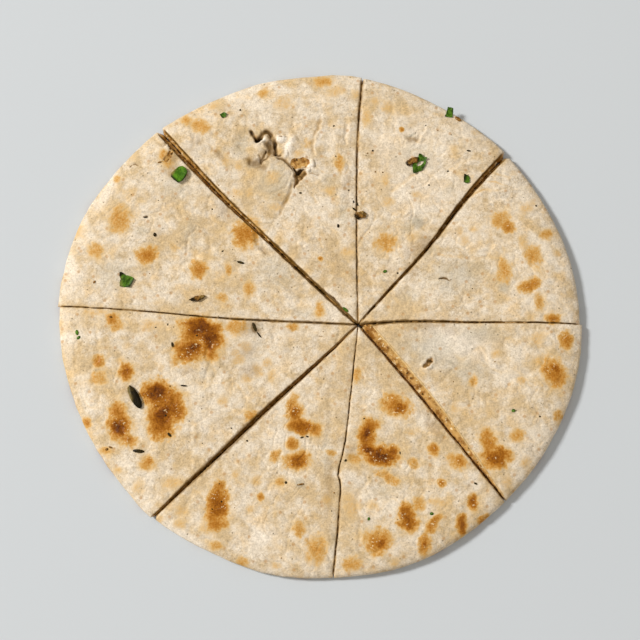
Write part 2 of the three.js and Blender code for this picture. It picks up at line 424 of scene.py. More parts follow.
SCORCHES = grouped_rows(Scorch, "tone", {
    Tone.FAINT: (
        (-91, -20, 5, 4), (-91.4, -70.3, 6, 5), (-81.9, -77.8, 6, 6), (-66, -76.4, 12, 7, 20),
        (-33, -28.9, 7, 5), (-22, -27.4, 5, 7), (-103, 2.6, 16, 5, -5), (-78, -4, 12, 7),
        (-39, -17, 5, 5), (-44, -39, 6, 5), (-28.5, -74.9, 5, 6), (-31, -87.9, 4, 5),
        (-62.6, -94.3, 7, 6), (-62.6, -88.6, 8, 6), (-72, -92.4, 5, 4), (-19.6, -112.7, 6, 4),
        (3, -83, 5, 6), (14, -86.4, 8, 13), (53, -84.6, 13, 4), (33.6, -111.4, 5, 5), (24, -86, 5, 5),
        (41, -53, 5, 5), (101, -21, 9, 9), (100, -10, 8, 6.5), (92, -29.4, 6, 5), (93.2, -66.6, 6, 6),
        (61, -42.4, 5, 6), (81, -17.4, 5, 5), (85, -75.4, 6, 7), (94.5, 34.6, 5, 10, 10),
        (97, 0, 4, 5), (65, 40.6, 4, 7), (71.5, 41.6, 5, 4), (67.5, 36, 5, 7), (97, 51.6, 11, 6, 40),
        (110, 30, 5, 4), (42.5, 38, 5.5, 6), (31.5, 54.6, 8, 5), (45.5, 58, 5.5, 4), (31, 65, 4, 8),
        (32, 101, 7, 8), (26, 104, 5, 5), (17, 107.6, 6, 5), (22, 96, 5, 10),
        (-50.4, 102.2, 7, 4, 30), (-44, 75, 5.5, 8), (-38, 72, 4, 6), (-17, 103, 11, 9),
        (8, 109, 9, 7), (13, 31.2, 9, 5), (4.6, 60, 6, 5), (-22, 66, 8, 8), (-18.4, 79, 4, 5),
        (-9.6, 78, 7, 4), (-33, 58.6, 5, 6), (-39, 59, 6, 5), (-20, 52, 7, 4), (-67.5, 32.8, 4.5, 5),
        (-113, 44, 6, 18, 25), (-51, -96, 6, 7), (-37.6, -72.6, 4, 8), (-37, -20, 7, 6),
        (-28, -25.4, 6, 7), (-34, -14, 8, 6), (-24, -21.6, 5, 6),
    ),
    Tone.TAN: (
        (-101, -28.4, 9.5, 7), (-97, -61.4, 6, 4), (-77.6, -67, 8, 7), (-38, -4.4, 10, 9),
        (-12, -4.6, 6, 5), (-31, -45.6, 7, 7), (-93, -4, 6.5, 6), (-20.2, -64.2, 8, 5, 55),
        (-17.6, -76, 4.5, 4.5), (-9.3, -97, 6, 8.5), (-2, -106, 10, 15), (-34.4, -111, 6, 5),
        (-46.5, -104, 6, 5), (29.5, -73.4, 12, 5, -28), (34, -76, 5, 4), (17, -27.6, 4.5, 8),
        (15.4, -65.2, 6.5, 5.5), (62, -66.2, 11, 7, -38), (42.5, -67.4, 5.5, 5.5),
        (44.4, -85.6, 7, 6.5), (14.5, -112.4, 9, 7), (70, -30, 4, 6.5, -20),
        (108.8, -45.6, 5, 8, -15), (89.5, -54.6, 8, 6.5), (84, 45.6, 10, 9), (105, 39.2, 6.5, 6),
        (99, 28.4, 9, 12, 15), (85, 22, 8.5, 13, 15), (101, 7, 5, 9), (30.5, 35, 11, 11),
        (31, 33, 7, 6), (-63, 94.6, 6, 5, -20), (-56, 91.4, 12, 7, -30), (-26.5, 108, 5, 5),
        (1, 113.8, 10, 6), (9.4, 73.6, 4.5, 11), (-93, 46.4, 12, 14, 10), (-93.5, 45, 8, 7),
        (-103.5, 31.6, 8.5, 7.5), (-42.5, 22.2, 3.5, 7), (-32.6, 13, 6.5, 8.5, 10), (-45, 9, 6.5, 5),
        (-95, 66.1, 4, 4), (0, 3.6, 4.5, 8), (-72, 75.6, 6, 10, 20), (-65, -20, 6, 5, 30),
        (5, -62.6, 5, 3, -20),
    ),
    Tone.GOLD: (
        (-53, -15, 11, 9), (-91.5, -44, 7.5, 9, 10), (-87, -56.6, 10, 6.5, -30), (-101, -21, 6, 6.5),
        (-106, -48.5, 4.5, 5, 20), (-95, -1, 7, 6, -30), (-45, -78, 6, 7), (-46, -94.5, 10, 7),
        (-11.6, -43.8, 8.2, 15, 10), (-2.5, -51.8, 8, 6), (-12.4, -58.8, 6.5, 5.5),
        (-26.6, -82.6, 3.6, 3.6), (34.5, -41, 14, 10, -33), (51.4, -61, 5, 6, 20),
        (55, -76.2, 3.8, 3.8), (51, -94.4, 11, 5, 55), (47, -103.6, 6.5, 10, -15),
        (26, -102.4, 12, 11.5), (73.6, -92.2, 7, 3.5, 40), (107, -26, 11, 15, 15),
        (112.8, -10.4, 7.5, 8), (76.5, -58, 8, 14, 15), (87.5, 42.4, 7, 6), (97, 15, 11, 6.5, 20),
        (107, -0.4, 8, 5), (38.8, 89.6, 2.4, 2.6), (0.4, 27.2, 2.6, 2), (-80, 29.4, 10, 8.5),
        (-56, 22.4, 7.5, 10, 10), (-34, 39.4, 13, 14, 10), (-76.5, -66, 4, 3.5),
        (64, -67.4, 5, 4, -30), (63, -66, 8, 6, -38), (-9.8, -66.2, 12, 9), (-49.5, -17.5, 8, 7),
    ),
    Tone.BROWN: (
        (-54, -7.6, 18, 14, -15), (-60, -15.4, 15, 11, 25), (-57, -3.4, 14, 6, -5),
        (-73, -36.5, 13, 15), (-71.5, -48, 13, 17, 5), (-67.5, -42, 13, 15), (-91, -50.5, 10, 12, 15),
        (-88.2, -25.6, 7, 8), (-46, -86.5, 10, 18, -4), (-8.5, -50.6, 13, 7, -8), (-9.5, -65.8, 9, 8),
        (36.4, -42, 8, 7, -20), (21.5, -54, 8, 14, -14), (27.5, -64, 15, 8, -4), (33.5, -62, 5, 6),
        (39.6, -91.5, 8.5, 13, 8), (69, -85, 4.2, 7.4), (64, -94.6, 5, 9.5, -5), (108, -24, 5, 5, 15),
        (79.5, -65, 13, 10, 10), (21, -60.5, 8, 6), (47, -103.4, 3, 4), (27.4, -103.4, 6, 6),
        (-48.5, -11, 8, 10), (27, -66, 12, 5), (22.5, -61, 7, 6), (-49, -6, 9, 8),
        (-11, -45, 5.5, 10, 12), (-50.5, -11, 11, 12),
    ),
    Tone.DARK: (
        (-54.4, -5.6, 17, 9, -12), (-74, -35, 13, 10), (27.8, -63.8, 15, 8, -4), (22.5, -61.4, 6, 5),
        (-50, -10.4, 10, 11), (-71, -45, 11, 14), (-91, -51, 8, 10, 15), (-58, -14.6, 8, 6, 20),
        (21.6, -54, 5, 7, -14),
    ),
})

# painted shade: darker brown patches where shade falls by folds, raised edges, cuts and the tear
SHADE_PATCHES = each_row(Patch, (
    (-30.4, 73.4, 9, 6, -20, 0.42), (-23, 79.4, 6, 7, 0, 0.5), (-26.6, 77.2, 5, 5, 0, 0.22),
    (-38, 84, 4, 12, 10, 0.14), (-12.4, 65.4, 3, 7, 0, 0.25), (-22, 73.6, 12, 4, 0, 0.12),
    (-38, -18, 26, 15, 10, 0.15), (-29, -7, 6, 8, 0, 0.25), (47, 33, 22, 11, 45, 0.28),
    (4.4, -76, 6, 44, -3, 0.22), (52, -51, 6, 30, 38, 0.25), (43.5, 85, 8, 4, -5, 0.36),
    (47, 44, 9, 10, 0, 0.18), (13, 64, 5, 34, 0, 0.2), (12, 90, 3, 10, 0, 0.15),
    (22, -92, 4, 6, 0, 0.2), (67.4, -77, 4, 2.4, 20, 0.3), (8, 22, 6, 30, 0, 0.14),
    (-44, 50, 10, 16, 45, 0.25), (-31, -3.5, 12, 6, 0, 0.3), (-29.6, -5.6, 4.6, 8, 20, 0.5),
    (-32, -22, 16, 12, 0, 0.14), (-58, 84, 10, 10, 0, 0.24), (-69, 76, 8, 10, 0, 0.3),
    (50, -4, 30, 5, 0, 0.25), (42, 30, 10, 12, 45, 0.22), (-24.4, 82.4, 5, 7, 0, 0.5),
    (-48, 78, 14, 4, -45, 0.3), (-33, -6.5, 13, 10, 0, 0.27), (-33, -16, 16, 14, 0, 0.22),
    (-32, -25, 15, 11, 0, 0.24), (60, -6, 13, 8, 0, 0.2), (50, -6, 13, 8, 0, 0.2),
    (42, -6, 9, 7, 0, 0.18), (42, 22, 12, 11, 0, 0.24), (33, 22.5, 9, 10, 0, 0.17),
    (14, -62, 8, 12, 0, 0.25), (-69, 69.5, 11, 10, -45, 0.25), (-60, 79, 10, 9, -45, 0.2),
    (-14, 69.5, 7, 7, 0, 0.2), (-14, -6, 10, 8, 0, 0.17), (-23, 79, 9, 10, 0, 0.22),
    (-13.7, -52, 6, 6, 0, 0.16), (-88, -35, 8, 8, 0, 0.18), (-60, -25, 10, 8, 0, 0.2),
))

# greyer patches: stuffing showing through the dough, and painted shade beside folds and raised edges
GREY_PATCHES = each_row(Patch, (
    (-37.5, 82, 8, 13, 0, 0.6), (-31, 73, 7, 5, 0, 0.9), (43, 86.6, 7, 3.4, 30, 0.9),
    (62, 85, 5, 8, 0, 0.35), (45.5, 45, 8, 9, 0, 0.9), (41, 42, 9, 7, 0, 0.5), (85, 14, 7, 6, 0, 0.8),
    (60, -21, 8, 4, -20, 0.8), (53, -10.4, 13, 10, 0, 0.5), (-9, -76.4, 6, 6, 0, 0.8),
    (-30.5, -6, 8, 7, 0, 0.55), (60, 15, 16, 12, 0, 0.45), (-36.5, 25.6, 5, 3, -20, 0.7),
    (-83, 40.6, 8, 5, 0, 0.5), (11, 50.6, 6, 16, 0, 0.5), (4, 64.6, 9, 12, 0, 0.35),
    (-61, 41, 10, 16, 0, 0.4), (-68, 61, 16, 14, 0, 0.4), (7, -101.4, 5, 12, 0, 0.4),
    (3, -63.4, 5, 26, 0, 0.4), (40, -25, 6, 22, 40, 0.5), (50, 31.6, 14, 6, 45, 0.5),
    (41, 9.6, 10, 9, 0, 0.35), (-50, -25.4, 18, 9, 30, 0.25), (30, -79.4, 14, 7, 0, 0.4),
    (74, -8, 30, 9, 0, 0.55), (50, -15, 36, 22, -10, 0.5), (66, -24, 30, 16, -20, 0.5),
    (64, 20, 40, 18, 8, 0.5), (-21, 64, 20, 22, 10, 0.6), (-20, 20, 24, 18, -30, 0.4),
    (-30, -16, 26, 14, 20, 0.2), (-95, 20, 24, 20, 0, 0.4), (44, 76, 24, 20, 0, 0.4),
    (-8, 2, 14, 7, 0, 0.35), (60, 60, 18, 4, 50, 0.35), (-103, 80, 10, 14, 30, 0.3),
    (-27.4, -4.6, 5, 6, 0, 0.6),
))

# paler patches: lighter dough, and painted highlight on lit lips, ridges, lumps and the west rim
PALE_PATCHES = each_row(Patch, (
    (-3.8, 72, 3.4, 5.4, -30, 1), (-14.6, 80.4, 5, 14, -22, 1), (-18.2, 85, 6.6, 4.6, 0, 1),
    (-27, 84.4, 2.4, 6.5, -42, 1), (-5.4, 69.8, 3, 2, 0, 0.9), (-9.2, 66.2, 2.2, 1.4, 10, 0.8),
    (0.4, 86, 3, 15, -20, 0.7), (38, 93.6, 12, 9, 0, 0.6), (65, 43, 5, 3, 0, 0.6),
    (49.5, -23.2, 7, 4, 0, 0.8), (-116, 20.6, 6, 30, -5, 0.3), (-116, -10, 6, 34, 5, 0.3),
    (-100, 58.6, 8, 26, -30, 0.6), (-60, -100, 34, 6, -32, 0.6), (-106, -36, 8, 20, 10, 0.5),
    (32, 83, 18, 22, 0, 0.5), (-20, -20, 20, 12, 0, 0.35), (-25, -100, 20, 10, 0, 0.5),
    (44, 72, 36, 50, 0, 0.5), (62, -12, 40, 24, -10, 0.8), (49.4, -21.6, 8.6, 5.4, 38, 0.7),
))

MOUNDS = each_row(Mound, (
    # the tear: its lumps, the swollen flap south of it, and the hollow west of it
    (-27.6, 81, 6, 7, 15, 0.5, 1.5), (-18.2, 84.8, 6.5, 4.6, 10, 0.9, 1.8),
    (-18.4, 79.4, 3.4, 4.4, 0, 0.7, 1.8), (-3.6, 73, 3.2, 4.6, -20, 1.1, 2),
    (-5.4, 69.8, 2.4, 1.8, 0, 0.8, 2), (-9.2, 66.2, 2.2, 1.4, 10, 0.7, 2),
    (-7.4, 68.4, 2, 1.4, 10, 0.5, 2), (-31, 73.4, 6, 4.4, 0, -0.9, 1.4),
    (-22, 62.6, 18, 26, 15, 0.6, 1.4), (-37, 82, 8, 13, 0, -0.35, 1),
    # puckers and bulges that go with the stuffing under them
    (49.5, -21.6, 9, 6, 38, 0.5, 1.6), (46, 45, 12, 10, 0, -0.35, 1), (56, 15.6, 16, 6, 0, 0.35, 1),
    (-87, 74.1, 6, 4, 15, 0.4, 1.2), (8, 86, 8, 24, -5, 0.55, 1), (84, 58.6, 16, 8, 0, 0.35, 1),
    (38, 92, 11, 9, 0, 0.4, 1), (-8, 93, 9, 16, -10, 0.3, 1), (65, -10, 18, 9, 0, 0.3, 1),
    (-10, 45, 12, 14, 0, 0.35, 1),
))

POCKETS = (
    # the tear: a black hole under a tongue of dough, the shade beneath it, and stuffing to the east
    Pocket(((-31, 86.6), (-29.8, 85.4), (-28.4, 85.2), (-27, 86), (-26.8, 84.8), (-28, 83.6),
        (-29.4, 82.8), (-30.8, 83.8)), depth=2.4, brim=0.7, shade_and_stain=1),
    Pocket(((-26.8, 87.6), (-24, 88.2), (-22.2, 85), (-21, 81), (-20.8, 77.4), (-24.6, 76.6), (-26.4, 78),
        (-25.2, 80.6), (-24.4, 83.6), (-25, 86)), depth=0.9, brim=2.2, shade_and_stain=0.6),
    Pocket(((-13.8, 73.6), (-12.8, 74.8), (-11.4, 75.8), (-9.4, 75.2), (-8.2, 76.2), (-5, 74.8),
        (-4.6, 73), (-6.6, 71.2), (-9.6, 70.6), (-12.6, 70.6), (-13.6, 72.4)), depth=0.35, brim=1,
        filling=1, lumps=0.35),
    Pocket(((-12, 68.4), (-9, 69.6), (-6.4, 69.6), (-5.6, 68), (-7, 66.2), (-8, 65), (-9.4, 63.8),
        (-10.8, 62.2), (-11.8, 60.4), (-12.4, 62.4), (-11.6, 64.6), (-12, 66.4)), depth=1.1, brim=0.9,
        shade_and_stain=0.55, filling=0.5, lumps=0.5),
    Pocket(((-13.4, 71.6), (-12.2, 69.4), (-11, 67.6), (-9.8, 67.2), (-8.2, 68.8), (-6.6, 70.4),
        (-9, 70.6), (-10.4, 69.8), (-11.6, 71)), depth=1, brim=0.5, shade_and_stain=0.98),
    # a seed's empty place in wedge_3, with painted shade in it
    Pocket(((46.6, -24), (48.4, -24.2), (50.6, -22.6), (52.2, -20.2), (51.4, -18.7), (49.4, -19.6),
        (47.4, -22)), depth=0.9, shade_and_stain=0.8, filling=0.5, lumps=0.7),
    # torn crust beside the north-west cut
    Pocket(((-74.6, 74), (-72, 73.4), (-69.6, 75.6), (-68.8, 79.6), (-70.4, 81.6), (-71.6, 77.8)),
        depth=0.5, shade_and_stain=0.1, filling=0.8, lumps=0.4),
)

ROLLS = (
    Roll(((-17.8, 75), (-15.2, 79), (-13.2, 83), (-11.6, 88.5)), 2.3, 1),
    Roll(((-29.6, 82.2), (-27.4, 83.8), (-25.2, 87)), 0.9, 0.8),
    Roll(((47.6, -22.4), (49.4, -24.2), (52, -23.2)), 0.8, 0.5),
    Roll(((49.4, -18.8), (51.6, -17.8), (53.4, -19.4)), 0.6, 0.4),
)

GROOVES = each_row(Groove, (
    (((0.2, 14.3), (5.6, 9.3), (10.6, 4.6)), 0.5, 0.5, 0.9),
    (((-29.8, 41.5), (-29.4, 37), (-27.6, 33), (-24.6, 30.6), (-21, 29.6)), 1.3, 0.35, 0.4, 0.3),
    (((-59.5, 40.4), (-61.4, 37), (-61.6, 30.6)), 0.9, 0.25, 0.34),
    (((-14, 31), (-8, 33.5), (-4, 36), (0, 37)), 0.7, 0.3, 0.24, 0.2),
    (((70, 57.5), (78, 60.4), (86, 60.6), (95, 62.4)), 0.7, 0.35, 0.2, 0.3),
    (((75, 53.6), (84, 56.4), (93, 57)), 0.7, 0.3, 0.18, 0.3),
    (((60, 31), (70, 30), (82, 30.6)), 0.8, 0.3, 0.16, 0.3),
    (((43.6, 80), (47, 86), (50.4, 93)), 0.8, 0.3, 0.18, 0.3),
    (((-71.2, 82.4), (-69.2, 80.6), (-67.4, 79.2)), 0.5, 1.2, 1),
    # the tear's black hook, painted shade in the crack, and the creases round it
    (((-33.2, 90.2), (-31.2, 87), (-29.4, 83.6)), 0.95, 1.4, 1),
    (((-29.8, 82.6), (-27.4, 86.6), (-25.8, 88.4), (-24, 88.4), (-22.2, 86), (-21.4, 83.6)), 1.3, 1.5, 1),
    (((-26.4, 88.6), (-23.6, 88), (-21.9, 85), (-20.9, 82), (-20.5, 76.6)), 1.4, 1.5, 1),
    (((-20.9, 82), (-20.5, 80), (-20.8, 78), (-19.8, 76.6)), 0.95, 1.4, 1),
    (((-21.4, 77.6), (-19.9, 77), (-18, 76.8)), 0.5, 0.7, 0.8),
    (((-35, 77.6), (-33, 74), (-30.4, 72.6), (-27, 71.4), (-23, 69)), 2, 0.4, 0.46),
    (((-28.6, 78), (-27.8, 75), (-27.6, 72)), 0.8, 0.5, 0.6),
    (((-25, 80), (-25.6, 77.6), (-27.4, 74.4), (-28, 72)), 0.75, 0.6, 0.75),
    (((-28, 72.6), (-25.9, 74.9), (-23.9, 76.4), (-20.4, 76.6)), 0.7, 0.5, 0.65),
    (((-21, 76.8), (-18.6, 75.4), (-16, 74.2), (-13.8, 72.4), (-12.2, 69)), 0.9, 0.7, 0.62),
    (((-20.6, 45), (-17.8, 50.1), (-15.2, 55.6), (-13.4, 60.6), (-12.2, 66.4)), 1.2, 0.4, 0.44, 0, 0.1),
    (((-13.6, 68.6), (-13, 65), (-13.6, 61)), 0.5, 0.2, 0.3),
    (((-5.8, 68), (-3, 68), (0.7, 67.4)), 0.4, 0.3, 0.45),
    (((-38.5, 82.6), (-36.9, 79.4)), 0.8, 0.3, 0.3),
    (((-6.6, 87.6), (-2.4, 89)), 0.6, 0.3, 0.35, 0.15),
    (((-19, 86.5), (-17.4, 85.8)), 0.35, 0.3, 0.7),
    (((-11, 88), (-13, 91.5), (-12, 95)), 0.9, 0.25, 0.2, 0.2),
    # the fold east of it
    (((-2.6, 75.9), (-3.8, 80.5), (-3.4, 84.7), (-0.6, 91.5), (1.4, 98.5)), 1.4, 0.25, 0.46, 0, 0.1),
    (((-6, 80), (-5, 83), (-6.4, 86)), 2, 0.2, 0, 0, 0.3),
    (((11.8, 81.6), (12.8, 91.5), (12, 97)), 1, 0.35, 0.2, 0.3),
    (((2, 99.4), (0.4, 103.4)), 0.7, 0.2, 0.15, 0.1),
    # wedge_8's soft shade lines
    (((-22, 38.6), (-13, 35.1), (-7.5, 36.4), (-4, 39.6)), 1.2, 0.2, 0.08, 0.15, 0.1),
    (((-4, 58.6), (-1, 53.6)), 1, 0.2, 0.12, 0, 0.1),
    (((-33, 60), (-29.5, 66.5), (-30, 71)), 1.3, 0.25, 0.15, 0.15),
    # wedge_1
    (((31, 57.6), (37, 62.6), (45.5, 68.6), (52, 70.6)), 1.3, 0.3, 0.06, 0.25, 0.14),
    (((39, 86.4), (42, 85.6), (46, 88.2)), 0.8, 0.3, 0.3, 0.2),
    (((37, 46.1), (42, 48.6), (47.5, 46.6)), 0.9, 0.35, 0.35, 0.15),
    (((41.5, 41), (44, 37), (43, 33)), 0.9, 0.25, 0.2, 0.1, 0.1),
    (((58, 68), (66, 74), (76, 77)), 1.2, 0.22, 0.05, 0.2, 0.1),
    (((60.5, 86), (61.5, 82)), 0.8, 0.3, 0.2, 0.1),
    # wedge_2
    (((74, 70.1), (82, 68.6), (91, 66)), 0.8, 0.3, 0.1, 0.25, 0.22),
    (((73, 65), (82, 64.2), (90, 61.6)), 0.8, 0.26, 0.08, 0.22, 0.2),
    (((67, 55.6), (76, 60.6), (86, 60)), 1, 0.26, 0.05, 0.2, 0.2),
    (((52, 29.6), (62, 28.6), (72, 27.6), (84, 29.1)), 1.1, 0.3, 0.1, 0.25, 0.14),
    (((60, 33), (68, 31.4), (75, 32)), 0.9, 0.2, 0.08, 0.15, 0.1),
    (((54.4, 17.4), (56.8, 18.3), (59, 17.8), (61.2, 16.2)), 0.45, 0.6, 0.75, 0.3),
    (((60, 15.6), (64.5, 10.6), (68.5, 4.6)), 0.9, 0.24, 0.1, 0.15),
    (((46, 6.6), (50, 7.8), (54, 6.6)), 0.7, 0.16, 0.1, 0.1),
    (((56, 40), (60, 43.5), (66, 45)), 0.9, 0.2, 0.05, 0.15, 0.15),
    # wedge_3
    (((81, -25.9), (76, -19.4), (70, -10.4)), 0.8, 0.24, 0.14, 0.2),
    (((45, -17.4), (45.4, -11.4), (45, -5.4)), 0.9, 0.2, 0.12, 0.15, 0.08),
    (((37, -10.4), (36, -5.4)), 0.7, 0.15, 0.1),
    (((54, -20), (60, -21.6), (66, -25)), 1.1, 0.25, 0.22, 0.1),
    # wedge_4 and wedge_5
    (((53, -76.4), (57, -77.9)), 0.5, 0.2, 0.25),
    (((-30, -51.4), (-20, -54.4), (-12, -57.9)), 0.9, 0.18, 0.06, 0.1),
    (((3, -61.4), (5, -46.4), (4, -31.4)), 1.5, 0.22, 0.06),
    # wedge_6
    (((-54, -34.4), (-51, -25.4), (-48, -18.4)), 1.5, 0.35, 0.14, 0.25),
    (((-58, -71.4), (-59, -57.4), (-57, -44.4)), 1.1, 0.2, 0.08, 0.15),
    (((-42, -28.4), (-38.5, -30.9), (-38, -33.9)), 0.7, 0.2, 0.15),
    (((-84, -3), (-79, -4.2), (-75, -2.8)), 0.7, 0.2, 0.15, 0.15),
    (((-24, -4.4), (-21.6, -8.4), (-20.6, -13.6)), 0.8, 0.3, 0.25, 0.1),
    (((-2, -8.6), (0.2, -9.3), (1.8, -8.8)), 0.35, 0.3, 0.6),
    # wedge_7
    (((-61.8, 28.1), (-61.2, 33.6), (-60.8, 39.1)), 0.8, 0.25, 0.3, 0.2),
    (((-60.8, 39.1), (-58, 41.1), (-57, 43.6)), 0.8, 0.25, 0.3),
    (((-66, 22), (-55, 30.1), (-46, 34.6)), 1.2, 0.2, 0.05, 0.15, 0.08),
    (((-29.8, 37.8), (-28.6, 33), (-23, 28.8)), 1, 0.5, 0.35, 0),
    (((-22.8, 30.4), (-26, 34), (-27.6, 38.4)), 0.8, 0.3, 0.2, 0.3),
    (((-82.2, 47), (-81, 47.8), (-79.8, 47.3)), 0.45, 0.5, 1),
    (((-89.6, 71.4), (-87, 73.2), (-84.4, 72.2)), 0.45, 0.6, 0.9, 0.3),
    (((-70.5, 84.6), (-74, 82), (-77, 85)), 0.7, 0.4, 0.4, 0.1),
    (((-62, 62), (-66, 56), (-72, 53)), 1.2, 0.2, 0.08, 0.15),
))

LEDGES = (
    # the rounded flap south of the tear, the tongue's lit lip, and the fold east of the tear
    Ledge(((1.9, 98.5), (0.2, 91.5), (-2.5, 84.7), (-2.8, 80.5), (-1.5, 75.9)), 0.55, 5, 0.6),
    Ledge(((-11.6, 62), (-11.5, 64.8), (-12, 68), (-13.5, 70.8), (-16.6, 73.7), (-20.9, 76.2),
        (-23.9, 75.5), (-25.9, 73.5), (-27.9, 71.8)), 1, 8, 0.6),
    Ledge(((-22.8, 84.4), (-24.7, 86.2), (-26.6, 84.2), (-28.4, 82.6)), 0.8, 4, 0.4),
)


@dataclass
class CrustCoat:
    """What the crust is like at a set of places: its relief in millimetres and shares of each look."""

    relief: Array
    scorch: Array
    grey: Array
    filling: Array
    pale: Array
    # painted shade in creases, holes, cuts and shaded patches, and dark marks
    shade_and_stain: Array


@dataclass
class Crust:
    """The whole round's crust, read place by place, so that marks run on across the cuts."""

    seed: int = 7
    swells: tuple[tuple[int, float, float], ...] = (
        (2, 44, 0.34), (3, 20, 0.238), (4, 9, 0.15), (6, 4.8, 0.065), (7, 2.5, 0.04), (8, 1.4, 0.028),
    )  # which hills, how wide and how high, in millimetres
    fold: float = 0.27
    wrinkle: float = 0.18
    bubble: float = 0.16
    hills: list[HillNoise] = field(init=False)

    def __post_init__(self) -> None:
        """Draws the noises that the crust is made with."""
        self.hills = [HillNoise(self.seed + i) for i in range(12)]

    def wander(self, x: Array, y: Array, size: float, reach: float) -> tuple[Array, Array]:
        """Moves places about a little, so that nothing on the crust has a drawn edge.

        Args:
            x, y: the places.
            size: how wide a hill of the movement is.
            reach: how far a place moves, in millimetres.

        Returns:
            The moved x and y.
        """
        return x + reach * self.hills[0](x, y, size), y + reach * self.hills[1](x, y, size)

    def top(self, x: Array, y: Array) -> CrustCoat:
        """Reads the upper crust.

        Args:
            x, y: places on the plan, in millimetres.

        Returns:
            The crust there.
        """
        hills = self.hills
        relief = sum(height * hills[i](x, y, size) for i, size, height in self.swells)
        warped_x, warped_y = self.wander(x, y, 9, 2.5)
        mask = ease(-0.1, 0.5, hills[6](x, y, 38))
        folds = ease(0.16, 0.0, abs(hills[5](warped_x, warped_y, 17))) * mask
        wrinkles = ease(0.2, 0.0, abs(hills[9](warped_x, warped_y, 7)))
        wrinkles *= ease(0.5, -0.2, hills[6](x, y, 30))
        relief += self.bubble * ease(0.4, 0.85, hills[10](x, y, 6.5))
        relief -= self.fold * folds + self.wrinkle * wrinkles
        coat = CrustCoat(relief, *(np.zeros(x.shape) for _ in range(5)))
        # folds and wrinkles brown a little: warm painted shade in the creases
        coat.scorch += 0.12 * folds * ease(-0.5, 0.6, hills[7](x, y, 6)) + 0.08 * wrinkles
        self._add_scorches(coat, x, y)
        shades = ((GREY_PATCHES, coat.grey), (PALE_PATCHES, coat.pale), (SHADE_PATCHES, coat.shade_and_stain))
        for patches, share in shades:
            self._add_patches(patches, share, x, y)
        self._add_shapes(coat, x, y)
        self._add_pockets(coat, x, y)
        coat.relief += coat.scorch * (0.07 + 0.08 * hills[8](x, y, 1.6))
        return coat

    def underside(self, x: Array, y: Array) -> CrustCoat:
        """Reads the lower crust, which lay on the griddle: flatter, and scorched in rings.

        Args:
            x, y: places on the plan, in millimetres.

        Returns:
            The crust there, with relief measured upwards from the floor.
        """
        hills = self.hills
        relief = np.clip(0.1 + 0.3 * hills[9](x, y, 19) + 0.05 * hills[8](x, y, 2), 0, 0.5)
        x, y = self.wander(x, y, 5, 1.6)
        scorch = 0.85 * ease(0.12, 0.75, hills[10](x, y, 15)) + 0.5 * ease(0.2, 0.8, hills[11](x, y, 7))
        blank = np.zeros(x.shape)
        return CrustCoat(relief, np.clip(scorch - relief, 0, 1), blank, blank, blank, blank)

    def _add_scorches(self, coat: CrustCoat, x: Array, y: Array) -> None:
        """Adds the scorch marks to a coat, with ragged, soft edges."""
        wide_x, wide_y = self.wander(x, y, 6.5, 1.5)
        fine_x, fine_y = self.wander(x + 300, y, 2.2, 0.7)
        moved_x, moved_y = wide_x - x + fine_x - (x + 300), wide_y - y + fine_y - y
        speckle = 0.16 * self.hills[8](x, y, 1.3) + 0.2 * self.hills[7](x, y, 3.2)
        for mark in SCORCHES:
            at = mark.near(x, y)
            share = min(max(mark.width + mark.length, 8) / 26, 1.0)
            out = mark.outwards(x[at] + share * moved_x[at], y[at] + share * moved_y[at]) + speckle[at]
            layers = 0.26 * ease(1.9, 0.8, out) + 0.6 * ease(1.3, 0.4, out) + 0.14 * ease(0.6, 0.0, out)
            raise_to(coat.scorch, at, mark.tone.value * layers)
        haze = ease(0.1, 0.7, self.hills[9](x, y, 12)) * ease(-0.3, 0.6, self.hills[10](x, y, 4.5))
        np.maximum(coat.scorch, 0.11 * haze, out=coat.scorch)

    def _add_patches(self, patches: Sequence[Patch], share: Array, x: Array, y: Array) -> None:
        """Adds soft patches to one share of a coat."""
        ragged_x, ragged_y = self.wander(x, y, 3.2, 1.1)
        for patch in patches:
            at = patch.near(x, y)
            amount = patch.amount * ease(1.2, 0.2, patch.outwards(ragged_x[at], ragged_y[at]))
            raise_to(share, at, amount)

    def _add_shapes(self, coat: CrustCoat, x: Array, y: Array) -> None:
        """Adds mounds, rolls, ledges and grooves to a coat's relief, and the grooves' painted shade, dark
        and warm.
        """
        ragged_x, ragged_y = self.wander(x, y, 2.6, 0.55)
        for mound in MOUNDS:
            at = mound.near(x, y)
            out = mound.outwards(ragged_x[at], ragged_y[at])
            coat.relief[at] += mound.height * ease(1.2, 0.0, out**mound.steep)
        for roll in ROLLS:
            at = roll.near(x, y)
            distance, _, along = roll.beside(ragged_x[at], ragged_y[at])
            profile = ease(1.6 * roll.half_width, 0.1, distance)
            coat.relief[at] += roll.height * tapered(0.2, along) * profile
        for ledge in LEDGES:
            at = ledge.near(x, y, 3 * ledge.reach)
            distance, side, along = ledge.beside(ragged_x[at], ragged_y[at])
            slope = np.exp(-np.maximum(distance - ledge.brink, 0) / ledge.reach)
            rise = ease(-ledge.brink, ledge.brink, side * distance)
            fade = slope * ease(3 * ledge.reach, 0, distance)
            coat.relief[at] += ledge.height * tapered(0.12, along) * rise * fade
        for groove in GROOVES:
            at = groove.near(x, y)
            distance, side, along = groove.beside(ragged_x[at], ragged_y[at])
            ends = tapered(0.18, along) * (0.75 + 0.5 * self.hills[5](x[at], y[at], 3.5))
            valley = ends * ease(groove.half_width * 1.35, groove.half_width * 0.2, distance)
            bank = ends * np.exp(-(((distance / groove.half_width - 1.7) / 1.1) ** 2))
            coat.relief[at] += groove.ridge * bank * (side < 0) - groove.depth * valley
            # painted shade in the groove: dark, and warm where it browns
            dark = groove.shade_and_stain * min(1.0, 0.35 + groove.shade_and_stain)
            warm = groove.warm_shade + 0.14 * groove.shade_and_stain * (groove.shade_and_stain < 0.5)
            raise_to(coat.shade_and_stain, at, dark * valley)
            raise_to(coat.scorch, at, warm * valley)

